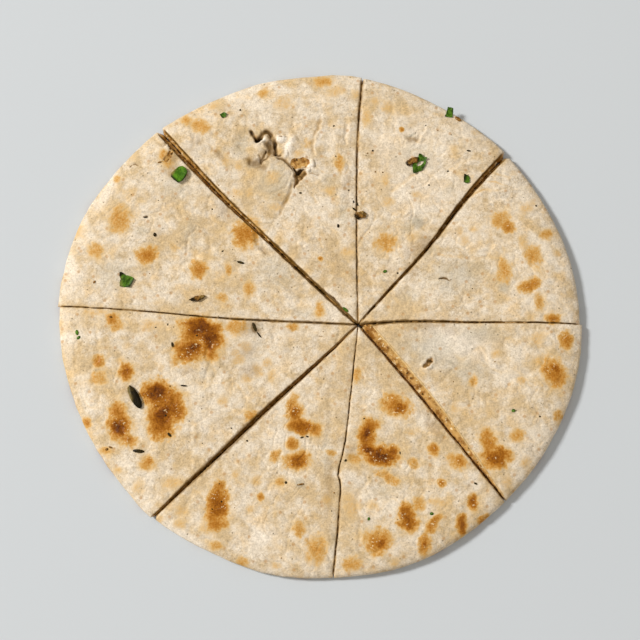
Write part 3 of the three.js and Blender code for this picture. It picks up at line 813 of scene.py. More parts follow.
    def _add_pockets(self, coat: CrustCoat, x: Array, y: Array) -> None:
        """Sinks the torn places into a coat, with their stuffing and their shade."""
        ragged_x, ragged_y = self.wander(x, y, 2.0, 0.4)
        for pocket in POCKETS:
            at = pocket.near(x, y, 2.0)
            inside = pocket.inside(ragged_x[at], ragged_y[at])
            within = ease(-0.1, pocket.brim, inside)
            lumps = self.hills[7](x[at], y[at], 1.9) + 0.6 * self.hills[8](x[at], y[at], 1.0)
            coat.relief[at] += within * (pocket.lumps * lumps - pocket.depth)
            shade = pocket.shade_and_stain * within * (1 + 0.9 * pocket.lumps * (lumps - 0.3))
            coat.shade_and_stain[at] = np.clip(np.maximum(coat.shade_and_stain[at], shade), 0, 1)
            shows = pocket.filling * ease(-0.25, 0.3, inside)
            raise_to(coat.filling, at, shows)
            coat.grey[at] *= 1 - shows
            coat.scorch[at] *= 1 - 0.8 * shows


@dataclass(frozen=True)
class Seam:
    """Painted shade along the lips of a cut: how dark, and how far on to the crust at even steps to the
    rim.
    """

    shade_and_stain: float
    reaches: tuple[float, ...]
    rim: float = 118.0

    def at(self, run: Array, beside: Array) -> Array:
        """The painted shade at places, from their distances to the middle of the bread and to the cut."""
        reach = np.interp(run, np.linspace(0, self.rim, len(self.reaches)), self.reaches)
        return self.shade_and_stain * ease(1.0, 0.3, beside / reach)


SEAMS = (
    Seam(0.5, (0.3, 0.4, 0.5, 0.6, 0.6, 0.4)),
    Seam(0.5, (0.9, 1, 0.8, 0.4, 0.3, 0.3)),
    Seam(0.3, (0.3, 0.3, 0.3, 0.3, 0.4, 0.4)),
    Seam(0.45, (0.2, 0.2, 0.25, 0.4, 0.3, 0.3)),
    Seam(0.44, (0.3, 0.4, 0.9, 1.5, 1.1, 0.3)),
    Seam(0.5, (0.7, 0.7, 0.5, 0.3, 0.14, 0.14)),
    Seam(0.6, (0.8, 0.8, 0.5, 0.5, 0.4, 0.3)),
    Seam(0.4, (0.4, 0.5, 0.7, 0.6, 0.7, 0.8)),
)


# ---- Wedges --------------------------------------------------------------------------------


@dataclass
class Section:
    """A wedge's plan at one height, in millimetres: a ring of points, anticlockwise from its tip."""

    ring: Array
    clockwise_corner: int
    other_corner: int

    @classmethod
    def of(cls, node: str, height: float) -> "Section":
        """Cuts a packed wedge at a height.

        Args:
            node: the wedge's node.
            height: in metres.

        Returns:
            The section, with its three corners found by how sharply its ring turns there.
        """
        bm = bmesh.new()
        bm.from_mesh(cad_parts[node].data)
        bmesh.ops.remove_doubles(bm, verts=bm.verts[:], dist=1e-6)
        parts = bm.verts[:] + bm.edges[:] + bm.faces[:]
        plane = {"plane_co": (0, 0, height), "plane_no": (0, 0, 1)}
        bmesh.ops.bisect_plane(bm, geom=parts, dist=1e-7, clear_inner=True, clear_outer=True, **plane)
        first = bm.verts[:][0]
        walk = [first]
        while True:
            near = [e.other_vert(walk[-1]) for e in walk[-1].link_edges]
            onward = [v for v in near if v not in walk[-2:]] if len(walk) > 1 else near[:1]
            if not onward or onward[0] is first:
                break
            walk.append(onward[0])
        ring = np.array([v.co.xy for v in walk]) / MM
        bm.free()
        return cls._from_ring(ring)

    @classmethod
    def _from_ring(cls, ring: Array) -> "Section":
        """Turns a ring anticlockwise, starts it at the tip and finds the two rim corners."""
        after = np.roll(ring, -1, axis=0)
        if np.sum(ring[:, 0] * after[:, 1] - after[:, 0] * ring[:, 1]) < 0:
            ring = ring[::-1]
        inward = ring - np.roll(ring, 1, axis=0)
        outward = np.roll(ring, -1, axis=0) - ring
        headings = np.arctan2(outward[:, 1], outward[:, 0]) - np.arctan2(inward[:, 1], inward[:, 0])
        turns = (headings + np.pi) % (2 * np.pi) - np.pi
        corners = np.argsort(turns)[-3:]
        tip = min(corners, key=lambda i: np.hypot(*ring[i]))
        clockwise, other = sorted((i - tip) % len(ring) for i in corners if i != tip)
        return cls(np.roll(ring, -tip, axis=0), int(clockwise), int(other))

    def clockwise_edge(self) -> Array:
        """The cut edge on the clockwise side, from the tip to the rim."""
        return self.ring[: self.clockwise_corner + 1]

    def other_edge(self) -> Array:
        """The cut edge on the anticlockwise side, from the tip to the rim."""
        return np.vstack([self.ring[self.other_corner :], self.ring[:1]])[::-1]

    def rim(self) -> Array:
        """The stretch of rim, anticlockwise."""
        return self.ring[self.clockwise_corner : self.other_corner + 1]


@dataclass(frozen=True)
class SheetCounts:
    """Squares along a sheet's cut edges: on the tip's stretch and on the outer stretch."""

    tip: int
    outer: int


@dataclass
class Sheet:
    """A wedge's upper or lower face on the plan: its two cut edges and its rim, as lines of points."""

    clockwise: Array
    other: Array
    rim: Array

    def edges(self) -> tuple[Line, Line]:
        """The two cut edges as lines."""
        return self._line(self.clockwise), self._line(self.other)

    def rim_line(self) -> Line:
        """The rim as a line."""
        return self._line(self.rim)

    def patches(self, counts: SheetCounts) -> list[tuple[int, int, Callable]]:
        """Splits the sheet into three four-sided patches that meet near its middle.

        Args:
            counts: how many squares there are along each stretch.

        Returns:
            For each patch, its squares across and up, and a function from shares across and up
            to places on the plan.
        """
        split = counts.tip / (counts.tip + counts.outer)
        middle = (self.clockwise[0] + self.clockwise[-1] + self.other[-1]) / 3
        mid_a = self._at(self.clockwise, np.array([split]))[0]
        mid_b = self._at(self.other, np.array([split]))[0]
        mid_rim = self._at(self.rim, np.array([0.5]))[0]
        part = self._part
        in_a, in_b, in_rim = (part(np.array([spot, middle]), 0, 1) for spot in (mid_a, mid_b, mid_rim))
        at_tip = self._coons(part(self.clockwise, 0, split), in_b, part(self.other, 0, split), in_a)
        at_clockwise = self._coons(part(self.rim, 0, 0.5), in_a, part(self.clockwise, 1, split), in_rim)
        at_other = self._coons(part(self.other, 1, split), in_rim, part(self.rim, 1, 0.5), in_b)
        return [
            (counts.tip, counts.tip, at_tip),
            (counts.tip, counts.outer, at_clockwise),
            (counts.outer, counts.tip, at_other),
        ]

    @staticmethod
    def _line(points: Array) -> Line:
        """Rows of coordinates as a line."""
        return Line(tuple(map(tuple, points)))

    @staticmethod
    def _at(line: Array, share: Array) -> Array:
        """Points at shares of a line's length, from 0 to 1."""
        steps = steps_along(line)
        walked = np.concatenate([[0], np.cumsum(steps)]) / steps.sum()
        return np.stack([np.interp(share, walked, line[:, k]) for k in (0, 1)], -1)

    @classmethod
    def _part(cls, line: Array, start: float, end: float) -> Callable:
        """A stretch of a line, as a function of the share along that stretch."""
        return lambda share: cls._at(line, start + (end - start) * share)

    @staticmethod
    def _coons(south: Callable, north: Callable, west: Callable, east: Callable) -> Callable:
        """Fills a patch evenly between its four sides.

        Args:
            south, north: the sides that run across, from west to east.
            west, east: the sides that run up, from south to north.

        Returns:
            A function from shares across and up to places on the plan.
        """
        low_ends, high_ends = south(np.array([0.0, 1.0])), north(np.array([0.0, 1.0]))

        def place(across: Array, up: Array) -> Array:
            """Places on the plan for shares across and up the patch."""
            a, b = across[:, None], up[:, None]
            sides = (1 - b) * south(across) + b * north(across) + (1 - a) * west(up) + a * east(up)
            low = (1 - a) * low_ends[0] + a * low_ends[1]
            high = (1 - a) * high_ends[0] + a * high_ends[1]
            return sides - (1 - b) * low - b * high

        return place


@dataclass
class WedgeShape:
    """A packed wedge's shape, read off sections at the heights of its rim's rings."""

    top: Sheet
    foot: Sheet
    bulge: float
    widest_angles: Array
    widest_radii: Array
    profile_roots: Array
    profile_heights: Array

    @classmethod
    def read(cls, node: str) -> "WedgeShape":
        """Measures a packed wedge.

        Args:
            node: the wedge's node.

        Returns:
            Its shape.
        """
        levels = sorted({round(v.co.z, 5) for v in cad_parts[node].data.vertices})
        hair = 2e-5
        heights = [levels[0] + hair, *(level + hair for level in levels[1:-1]), levels[-1] - hair]
        sections = [Section.of(node, height) for height in heights]
        middles = [np.hypot(*section.rim().T) for section in sections]
        radii = np.array([np.interp(0.5, np.linspace(0, 1, len(m)), m) for m in middles])
        widest = int(np.argmax(radii))
        insets = radii[widest] - radii
        shoulder = next(i for i, inset in enumerate(insets) if i > widest and inset > 1.2)
        upper, base = sections[-1], sections[0]
        above = sections[shoulder:-1][::-1]
        top = Sheet(
            np.vstack([upper.clockwise_edge()] + [s.clockwise_edge()[-1:] for s in above]),
            np.vstack([upper.other_edge()] + [s.other_edge()[-1:] for s in above]),
            sections[shoulder].rim(),
        )
        rim = sections[widest].rim()
        roots = np.linspace(0, 5.4, 109)
        steps = np.interp(roots, np.sqrt(insets[widest:]), np.array(heights[widest:]) / MM)
        kernel = np.hanning(17)
        padded = np.pad(steps, 8, mode="reflect", reflect_type="odd")
        return cls(
            top,
            Sheet(base.clockwise_edge(), base.other_edge(), base.rim()),
            float((insets[0] + insets[shoulder]) / 2),
            np.unwrap(np.arctan2(rim[:, 1], rim[:, 0])),
            np.hypot(*rim.T),
            roots,
            np.convolve(padded, kernel / kernel.sum(), mode="valid"),
        )

    def inset(self, x: Array, y: Array) -> Array:
        """How far inside the widest line of the rim places are, in millimetres."""
        middle = self.widest_angles.mean()
        angle = middle + (np.arctan2(y, x) - middle + np.pi) % (2 * np.pi) - np.pi
        return np.interp(angle, self.widest_angles, self.widest_radii) - np.hypot(x, y)

    def crown(self, inset: Array) -> Array:
        """The upper crust's height at places so far inside the rim, in millimetres."""
        return np.interp(np.sqrt(np.clip(inset, 0, None)), self.profile_roots, self.profile_heights)

    def to_cut(self, x: Array, y: Array) -> Array:
        """How far places are from the nearer cut edge of the upper crust."""
        return nearest(self.top.edges(), x, y)


@dataclass
class Wedge:
    """One wedge of the bread: a fine upper and lower crust, joined by cut faces and a rounded rim.

    Lengths are in millimetres. The two of waver are how wide its waves are and how far they reach,
    and the two of slanting are the runs between which a cut face starts and ends to count as slanted.
    """

    node: str
    crust: Crust
    shape: WedgeShape
    neighbours: tuple[Line, Line]
    banks: tuple[Line, Line]
    seams: tuple[Seam, Seam]
    spacing: float = 0.515
    wall_rows: int = 12
    thickness: float = 6.0
    tolerance: float = 0.02
    slanting: tuple[float, float] = (1.6, 3.6)
    rim_power: float = 0.6
    rim_rough: float = 0.3
    cut_shade: float = 0.38
    cut_top: float = 6.6
    edge_drop: float = 0.35
    edge_reach: float = 0.7
    waver: tuple[float, float] = (6.0, 0.16)
    swell: float = 0.5
    widest_gap: float = 4.4

    def build(self, finish: Material) -> Piece:
        """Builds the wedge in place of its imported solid.

        Args:
            finish: the crust's material.

        Returns:
            The finished piece.
        """
        bm = bmesh.new()
        for name in ("rise", "rim", "gap", "slant"):
            bm.verts.layers.float.new(name)
        self._add_sheet(bm, self.shape.top, 1.0, self._top_height)
        self._add_sheet(bm, self.shape.foot, 0.0, lambda x, y: self.crust.underside(x, y).relief)
        self._add_walls(bm)
        mesh = mesh_from(self.node + "_crust", bm, finish)
        self._paint(mesh)
        piece = link(self.node + "_crust", mesh)
        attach(piece, "root")
        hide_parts(self.node)
        return piece

    def _counts(self) -> SheetCounts:
        """Works out how many squares keep the spacing along the rim and the cut edges."""
        sheet = self.shape.top
        tip = round(steps_along(sheet.rim).sum() / self.spacing / 2)
        edge = round(steps_along(sheet.clockwise).sum() / self.spacing)
        return SheetCounts(tip, max(edge - tip, tip // 2))

    def _top_height(self, x: Array, y: Array) -> Array:
        """The upper crust's height, pressed down a little along the cuts."""
        height = self.shape.crown(self.shape.inset(x, y)) + self.crust.top(x, y).relief
        return height - self.edge_drop * np.exp(-self.shape.to_cut(x, y) / self.edge_reach)

    def _add_sheet(self, bm: BMesh, sheet: Sheet, rise: float, height: Callable) -> None:
        """Adds the upper or lower crust.

        Args:
            bm: the wedge's mesh.
            sheet: the crust's plan.
            rise: 1 for the upper crust and 0 for the lower.
            height: from places on the plan to heights, all in millimetres.
        """
        before = set(bm.verts)
        verts = []
        for across, up, place in sheet.patches(self._counts()):
            grid = bmesh.ops.create_grid(bm, x_segments=across, y_segments=up, size=1)["verts"]
            shares = np.array([v.co.xy for v in grid]).T / 2 + 0.5
            x, y = place(*shares).T
            put(grid, x, y, np.zeros(len(x)))
            verts += grid
        bmesh.ops.remove_doubles(bm, verts=verts, dist=1e-5)
        verts = [v for v in bm.verts if v not in before]
        x, y = self.crust.wander(*plan_of(verts), *self.waver)
        put(verts, x, y, height(x, y))
        layer = bm.verts.layers.float["rise"]
        for vert in verts:
            vert[layer] = rise
        if rise == 0:
            bmesh.ops.reverse_faces(bm, faces=list({f for v in verts for f in v.link_faces}))

    def _add_walls(self, bm: BMesh) -> None:
        """Joins the two crusts all round, rounds the rim, and swells and roughens the cut faces."""
        rise, rim, gap, slant = (bm.verts.layers.float[name] for name in ("rise", "rim", "gap", "slant"))
        border = [e for e in bm.edges if e.is_boundary]
        ring = list({v for e in border for v in e.verts})
        x, y = plan_of(ring)
        for sheet, level in ((self.shape.top, 1), (self.shape.foot, 0)):
            to_rim, to_cut = sheet.rim_line().beside(x, y)[0], nearest(sheet.edges(), x, y)
            for vert, is_rim in zip(ring, to_rim <= to_cut + self.tolerance):
                if vert[rise] == level:
                    vert[rim] = float(is_rim)
        for vert, width in zip(ring, nearest(self.neighbours, x, y)):
            vert[gap] = 0.0 if vert[rise] == 1 or vert[rim] == 1 else min(width, self.widest_gap)
        for vert, run in zip(ring, self._runs(x, y, np.array([v[rise] for v in ring]))):
            vert[slant] = 0.0 if vert[rim] == 1 else ease(*self.slanting, run)
        bmesh.ops.bridge_loops(bm, edges=border)
        uprights = [e for e in bm.edges if abs(e.verts[0][rise] - e.verts[1][rise]) == 1]
        bmesh.ops.subdivide_edges(bm, edges=uprights, cuts=self.wall_rows, use_grid_fill=True)
        bm.normal_update()
        walls = [v for v in bm.verts if 0 < v[rise] < 1]
        self._round_rim([v for v in walls if v[rim] > 0.5], rise)
        cuts = [v for v in walls if v[rim] <= 0.5]
        for vert in cuts:
            steep = 1 - (1 - vert[rise]) ** (1 + 4 * vert[slant])
            vert.co.z += (steep - vert[rise]) * self.thickness * MM
        self._swell_cuts(cuts, rise, gap)
        bm.normal_update()
        self._roughen(walls, rim)

    def _runs(self, x: Array, y: Array, level: Array) -> Array:
        """How far a cut face slants between the upper and the lower crust.

        Args:
            x, y: places on the borders of the two crusts.
            level: 1 for the upper border and 0 for the lower.

        Returns:
            The distance on the plan to the same face's other border.
        """
        upper, lower = self.shape.top.edges(), self.shape.foot.edges()
        above, below = ([line.beside(x, y)[0] for line in lines] for lines in (upper, lower))
        first = np.where(level == 1, above[0] < above[1], below[0] < below[1])
        across = np.where(first, below[0], below[1])
        return np.where(level == 1, across, np.where(first, above[0], above[1]))

    def _round_rim(self, verts: Verts, rise: Layer) -> None:
        """Pushes the rim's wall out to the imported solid's widest line."""
        for vert in verts:
            share = vert[rise]
            out = Vector((vert.co.x, vert.co.y, 0)).normalized()
            vert.co += out * (self.shape.bulge * MM * (4 * share * (1 - share)) ** self.rim_power)

    def _swell_cuts(self, verts: Verts, rise: Layer, gap: Layer) -> None:
        """Lets the soft crumb spread into the cuts, until it nearly meets the next wedge's."""
        x, y = plan_of(verts)
        share = np.array([v[rise] for v in verts])
        room = np.array([v[gap] for v in verts]) / (1 - share)

        def width(east: float, north: float) -> Array:
            """The distance to the nearer neighbour, a little way off each place."""
            return nearest(self.neighbours, x + east, y + north)

        toward_x, toward_y = width(-0.1, 0) - width(0.1, 0), width(0, -0.1) - width(0, 0.1)
        length = np.hypot(toward_x, toward_y) + 1e-9
        uneven = 1 + 0.3 * self.crust.hills[4](x, y, 5)
        full = 0.8 - 0.35 * ease(0.6, 2.2, room)
        room = np.minimum(room, self.widest_gap)
        reach = self.swell * room * ease(full + 0.2, full, share) * uneven * MM
        for vert, east, north in zip(verts, reach * toward_x / length, reach * toward_y / length):
            vert.co.x += east
            vert.co.y += north

    def _roughen(self, verts: Verts, rim: Layer) -> None:
        """Makes the crumb of the cut faces coarse, and the rim a little uneven."""
        hills = self.crust.hills
        places = np.array([v.co[:] for v in verts]) / MM
        run = np.hypot(places[:, 0], places[:, 1])
        rough = 0.34 * hills[3](run, places[:, 2] * 1.4, 3.0) + 0.26 * hills[4](run, places[:, 2], 1.3)
        shares = [self.rim_rough if v[rim] > 0.5 else 1.0 for v in verts]
        moves = [v.normal * (r * MM * share) for v, r, share in zip(verts, rough, shares)]
        for vert, move in zip(verts, moves):
            vert.co += move

    def _paint(self, mesh: Mesh) -> None:
        """Writes what the finish reads at each vertex: the shares of each look, painted shade along and
        in the cuts among them.
        """
        x, y, z = places_of(mesh)
        rise, rim, slant = np.zeros((3, len(x)))
        for name, values in (("rise", rise), ("rim", rim), ("slant", slant)):
            mesh.attributes[name].data.foreach_get("value", values)
        upper, lower = self.crust.top(x, y), self.crust.underside(x, y)
        # a browner band along the cut edges: painted shade where the crust dips to the cuts
        edge = np.exp(-self.shape.to_cut(x, y) / 0.8) * ease(-0.4, 0.5, self.crust.hills[5](x, y, 4))
        upper.scorch = np.maximum(upper.scorch, 0.2 * edge)
        uneven = 1 + 0.5 * self.crust.hills[5](x, y, 3.2) + 0.3 * self.crust.hills[7](x, y, 1.4)
        # painted shade on the lips of each cut
        for line, seam in zip(self.shape.top.edges(), self.seams):
            shade_and_stain = seam.at(np.hypot(x, y), line.beside(x, y)[0] * np.clip(uneven, 0.4, 2))
            upper.shade_and_stain = np.maximum(upper.shade_and_stain, shade_and_stain)
        cut = (rise > 0) & (rise < 1) & (rim < 0.5)
        # painted shade inside the cuts: darker deeper down and where the gap is narrow, less on slanted
        # faces
        apart = nearest(self.banks, x, y) + 0.3
        shut = self.cut_shade * (1 - 0.8 * slant) * ease(0.5, 3.0, (self.cut_top - z) / apart)
        upper.shade_and_stain = np.maximum(upper.shade_and_stain, cut * shut)
        lower.shade_and_stain = np.where(cut, upper.shade_and_stain, lower.shade_and_stain)
        share = np.where(rise == 1, 1.0, np.where(rise == 0, 0.0, ease(0.3, 0.7, rise)))
        for look in ("scorch", "grey", "filling", "pale", "shade_and_stain"):
            write_values(mesh, look, getattr(upper, look) * share + getattr(lower, look) * (1 - share))
        write_values(mesh, "crumb", cut.astype(float))


@dataclass
class Bread:
    """The eight wedges, lying as they were cut."""

    crust: Crust
    wedges: list[Piece] = field(default_factory=list)

    def build(self, finish: Material) -> None:
        """Builds the wedges, clockwise from the north cut.

        Args:
            finish: the crust's material.
        """
        nodes = sorted(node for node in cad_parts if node.startswith("wedge_"))
        shapes = [WedgeShape.read(node) for node in nodes]
        for i, node in enumerate(nodes):
            following, before = shapes[(i + 1) % len(nodes)], shapes[i - 1]
            neighbours = (following.foot.edges()[1], before.foot.edges()[0])
            banks = (following.top.edges()[1], before.top.edges()[0])
            seams = (SEAMS[i], SEAMS[i - 1])
            piece = Wedge(node, self.crust, shapes[i], neighbours, banks, seams).build(finish)
            self.wedges.append(piece)
            LOG.info("%s: %d faces", piece.name, len(piece.data.polygons))

    def ground(self) -> "Ground":
        """The upper crust as ground to lay bits on."""
        bpy.context.view_layer.update()
        depsgraph = bpy.context.evaluated_depsgraph_get()
        return Ground([BVHTree.FromObject(wedge, depsgraph) for wedge in self.wedges])


@dataclass
class Ground:
    """The finished crust, which bits are laid on."""

    trees: list[BVHTree]

    def under(self, x: float, y: float) -> tuple[Vector, Vector] | None:
        """Finds the crust under a place.

        Args:
            x, y: the place, in metres.

        Returns:
            The point on the crust and the way it faces, or None off the bread.
        """
        for tree in self.trees:
            point, normal, _, _ = tree.ray_cast(Vector((x, y, 0.05)), Vector((0, 0, -1)))
            if point is not None:
                return point, normal
        return None


# ---- Garnish -------------------------------------------------------------------------------


@dataclass(frozen=True)
class Outline:
    """A chopped bit's plan: its corners, in millimetres from the middle of its node's box."""

    corners: tuple[Point, ...]

    def reach(self, angle: Array) -> Array:
        """How far the outline lies from the middle in a direction.

        Args:
            angle: directions, in radians.

        Returns:
            The distance in each, in millimetres.
        """
        ring = np.array(self.corners + self.corners[:1])
        steps = np.linspace(0, len(self.corners), 30 * len(self.corners), endpoint=False)
        x, y = (np.interp(steps, range(len(ring)), ring[:, k]) for k in (0, 1))
        return np.interp(angle, np.arctan2(y, x), np.hypot(x, y), period=2 * np.pi)


@dataclass(frozen=True)
class Turnover:
    """A corner of a leaf that curls up beyond a line: its bearing, distance and slope."""

    bearing: float
    start: float
    lift: float


@dataclass(frozen=True)
class Shade:
    """A darker side of a bit, mostly painted shade, or a paler one, mostly painted highlight: the bearing
    it lies on, and where it starts and is full.
    """

    bearing: float
    start: float
    full: float
    amount: float = 1.0

    def at(self, x: Array, y: Array) -> Array:
        """The shade's strength at places, in millimetres from the middle of the bit."""
        bearing = math.radians(self.bearing)
        return self.amount * ease(self.start, self.full, x * math.cos(bearing) + y * math.sin(bearing))


@dataclass(kw_only=True)
class Bit:
    """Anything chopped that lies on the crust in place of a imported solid."""

    node: str
    slot: str
    offset: Point = (0.0, 0.0)
    # darker and paler sides: painted shade and painted highlight for the most part, with some of the
    # bit's own colour
    dark: tuple[Shade, ...] = ()
    pale: tuple[Shade, ...] = ()
    seed: int = 31

    def middle(self) -> Point:
        """Where the bit's middle lies, in millimetres."""
        low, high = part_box(self.node)
        return (low.x + high.x) / 2 / MM + self.offset[0], (low.y + high.y) / 2 / MM + self.offset[1]

    def dress(self, bm: BMesh, finish: Material) -> Piece:
        """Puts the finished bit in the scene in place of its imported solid.

        Args:
            bm: the bit's mesh, which is freed.
            finish: its material.

        Returns:
            The piece.
        """
        mesh = mesh_from(self.node + "_bit", bm, finish)
        x, y, _ = places_of(mesh)
        east, north = self.middle()
        for name, shades in (("dark", self.dark), ("pale", self.pale)):
            strengths = [shade.at(x - east, y - north) for shade in shades]
            write_values(mesh, name, np.max(strengths, axis=0) if shades else np.zeros(len(x)))
        piece = link(self.node + "_bit", mesh)
        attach(piece, "root")
        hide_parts(self.node)
        return piece


@dataclass(kw_only=True)
class Leaf(Bit):
    """A chopped bit of leaf: thin, curled at its corners, lying on the crust."""

    slot: str = "leaf_green"
    outline: Outline
    turnovers: tuple[Turnover, ...] = ()
    hole: Oval | None = None
    thickness: float = 0.3
    clearance: float = 0.12
    squares: int = 40

    def build(self, ground: Ground, finish: Material) -> Piece:
        """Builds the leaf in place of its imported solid.

        Args:
            ground: the crust it lies on.
            finish: its material.

        Returns:
            The finished piece.
        """
        bm = bmesh.new()
        bmesh.ops.create_grid(bm, x_segments=self.squares, y_segments=self.squares, size=1)
        square = np.array([v.co.xy for v in bm.verts])
        disc = square * np.sqrt(1 - square[:, ::-1] ** 2 / 2)
        angle, share = np.arctan2(disc[:, 1], disc[:, 0]), np.hypot(*disc.T)
        jagged = 1 + 0.04 * HillNoise(self.seed)(np.cos(angle) * 6, np.sin(angle) * 6, 1.4)
        reach = share * self.outline.reach(angle) * jagged
        spot = np.stack([np.cos(angle), np.sin(angle)], -1) * reach[:, None]
        east, north = (spot + np.array(self.middle())).T
        waves = 0.16 * HillNoise(self.seed + 1)(east, north, 2.4)
        above = self._curl(spot) + waves + self.thickness + self.clearance
        put(bm.verts, east, north, self._levels(ground, east, north) + above)
        if self.hole is not None:
            out = self.hole.outwards(spot[:, 0], spot[:, 1])
            gone = [vert for vert, at in zip(bm.verts, out) if at < 1]
            bmesh.ops.delete(bm, geom=gone, context="VERTS")
        bmesh.ops.solidify(bm, geom=bm.faces[:], thickness=self.thickness * MM)
        bmesh.ops.recalc_face_normals(bm, faces=bm.faces[:])
        return self.dress(bm, finish)

    def _curl(self, spot: Array) -> Array:
        """How far the turned-up corners lift places, in millimetres from the leaf's middle."""
        lift = np.zeros(len(spot))
        for turnover in self.turnovers:
            bearing = math.radians(turnover.bearing)
            away = np.array([math.cos(bearing), math.sin(bearing)])
            lift += turnover.lift * np.clip(spot @ away - turnover.start, 0, None)
        return lift

    @staticmethod
    def _levels(ground: Ground, east: Array, north: Array) -> Array:
        """The crust's heights under places, carried on level past the bread's edge."""
        hits = [ground.under(x * MM, y * MM) for x, y in zip(east.tolist(), north.tolist())]
        heights = np.array([hit[0].z / MM if hit else np.nan for hit in hits])
        usual = np.nanmedian(heights)
        return np.maximum(np.where(np.isnan(heights), usual, heights), usual - 0.5)


@dataclass(kw_only=True)
class Morsel(Bit):
    """A solid chopped bit, such as a seed, a crumb or a slice of onion, lying on the crust."""

    slot: str = "fried_brown"
    outline: Outline | None = None
    turn: float = 0.0
    size: tuple[float, float, float]
    squareness: float = 0.6
    ridges: int = 0
    ridge: float = 0.0
    rough: float = 0.0
    dish: float = 0.0
    sunk: float = 0.15

    def build(self, ground: Ground, finish: Material) -> Piece:
        """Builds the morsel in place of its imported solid.

        Args:
            ground: the crust it lies on.
            finish: its material.

        Returns:
            The finished piece.
        """
        half = np.array(self.size) / 2
        bm = bmesh.new()
        bmesh.ops.create_icosphere(bm, subdivisions=5, radius=1)
        ball = np.array([v.co[:] for v in bm.verts])
        angle, flat = np.arctan2(ball[:, 1], ball[:, 0]), np.hypot(ball[:, 0], ball[:, 1])
        spread = np.stack([np.cos(angle), np.sin(angle)], -1) * (flat**self.squareness)[:, None]
        spread *= self.outline.reach(angle)[:, None] if self.outline else half[:2]
        up = np.sign(ball[:, 2]) * abs(ball[:, 2]) ** self.squareness
        up -= self.dish * np.clip(1 - flat, 0, 1) * (up > 0)
        put(bm.verts, *(np.column_stack([spread, up * half[2]]) * self._swell(ball, flat)[:, None]).T)
        bmesh.ops.rotate(bm, verts=bm.verts[:], matrix=Matrix.Rotation(math.radians(self.turn), 3, "Z"))
        self._lay(bm, ground, half[2])
        return self.dress(bm, finish)

    def _swell(self, ball: Array, flat: Array) -> Array:
        """How far the surface stands out or in, for its lumps and its lengthwise ridges."""
        first, second = HillNoise(self.seed), HillNoise(self.seed + 1)
        lumps = first(ball[:, 0] * 2 + 5, ball[:, 1] * 2 + ball[:, 2], 0.9)
        lumps += 0.5 * second(ball[:, 0] * 2 - ball[:, 2], ball[:, 1] * 2, 0.4)
        ribs = np.cos(self.ridges * np.arctan2(ball[:, 2], ball[:, 1])) * flat * (self.ridges > 0)
        return 1 + self.rough * lumps + self.ridge * ribs

    def _lay(self, bm: BMesh, ground: Ground, half_height: float) -> None:
        """Leans the bit with the crust under it and sets it down."""
        east, north = self.middle()
        under = ground.under(east * MM, north * MM)
        if under is None:
            raise ValueError(f"{self.node} lies off the bread")
        point, normal = under
        tilt = Vector((0, 0, 1)).rotation_difference(normal).to_matrix()
        bmesh.ops.rotate(bm, verts=bm.verts[:], matrix=Matrix.Identity(3).lerp(tilt, 0.6))
        rise = Vector((0, 0, half_height * (1 - self.sunk) * MM))
        bmesh.ops.translate(bm, verts=bm.verts[:], vec=point + rise)


class Speck(Enum):
    """What a speck on the crust is."""

    BLACK = "chilli_olive"
    GREEN = "leaf_green"
    BROWN = "fried_brown"


@dataclass(frozen=True)
class Fleck:
    """A seed or speck pressed into the crust, its length turned anticlockwise by degrees."""

    x: float
    y: float
    length: float
    width: float
    turn: float = 0.0
    kind: Speck = Speck.BLACK


FLECKS = grouped_rows(Fleck, "kind", {
    Speck.BLACK: (
        (-29.9, -4.9, 4.8, 1.5, 112), (-27.8, -8.4, 3.6, 0.8, 128), (-81.8, -61.8, 5.6, 1.7, -5),
        (-68, -54.4, 2.4, 1.2, -50), (-67.4, -13, 2.4, 1.2, 100), (-61.8, -32, 3.4, 0.8, -5),
        (70, 79.4, 2.2, 0.9, -10), (-81, 47.2, 2, 0.8, 10), (-76.5, 38.8, 2, 1.6, 100),
        (-36.6, 25.6, 3.6, 1.2, -15), (55.8, 17.7, 2.6, 0.6, 4), (-37.5, 99.6, 0.9, 0.9),
        (8.6, 43, 1.9, 1.2, 95), (-8, -55.6, 1.8, 0.8, 20), (-5.6, -55.2, 1.4, 0.8, -20),
        (-9, 58.8, 1.4, 0.9), (70.2, -67.6, 1.4, 1, -40), (60, 69.4, 1.1, 0.8),
        (16.2, 51, 2.6, 0.9, -38), (15.8, 54.6, 1.4, 0.7, 100), (13.6, 60.2, 1, 0.7, 70),
        (-69.7, -3.6, 1.2, 0.6, 80), (-75.2, -5, 0.8, 0.6), (-56.3, -8.8, 0.9, 0.8),
        (-15.2, -76, 1.4, 1.2, 90), (11.7, -66, 1.3, 1, 40), (17.6, 53.6, 2.2, 0.8, 110),
        (101, 53, 0.9, 0.9), (36, 20.6, 1, 0.8), (51, 62.6, 0.9, 0.8), (24.9, 79.4, 1, 0.9),
        (73, -2.6, 0.9, 0.8), (100, -46, 0.9, 0.8), (-50, 51, 0.9, 0.8), (-45, 31, 1.2, 0.7, 30),
        (70.2, -76.4, 1.8, 0.9, -25), (36.3, -62.6, 1.5, 0.6, 95),
    ),
    Speck.GREEN: (
        (30.2, 21.4, 2, 1.5, 20), (-111.4, -7.2, 2.6, 1.6, 100), (-110.6, -9.6, 2.2, 1.4, 40),
        (88, -43.4, 1.9, 1.6), (50.2, -89.9, 1.8, 1.5), (22, -92.2, 1.6, 1.2, 80),
        (11.9, 3.4, 3.4, 1.3, -40),
    ),
    Speck.BROWN: (
        (-94.6, -60, 2, 0.9, -20), (-96, -0.1, 1.3, 1), (-8.6, -76.8, 3.4, 0.9, 10),
        (-96.4, -60.8, 1.6, 1.2, 30), (-71.4, 74.8, 2.4, 1, 70), (-69.4, 78.2, 2.2, 0.9, 50),
        (-75, 73.8, 2, 0.9, 10), (65.4, 95.6, 3.6, 2, -40), (-104, 16.4, 1.6, 1, 60),
    ),
})


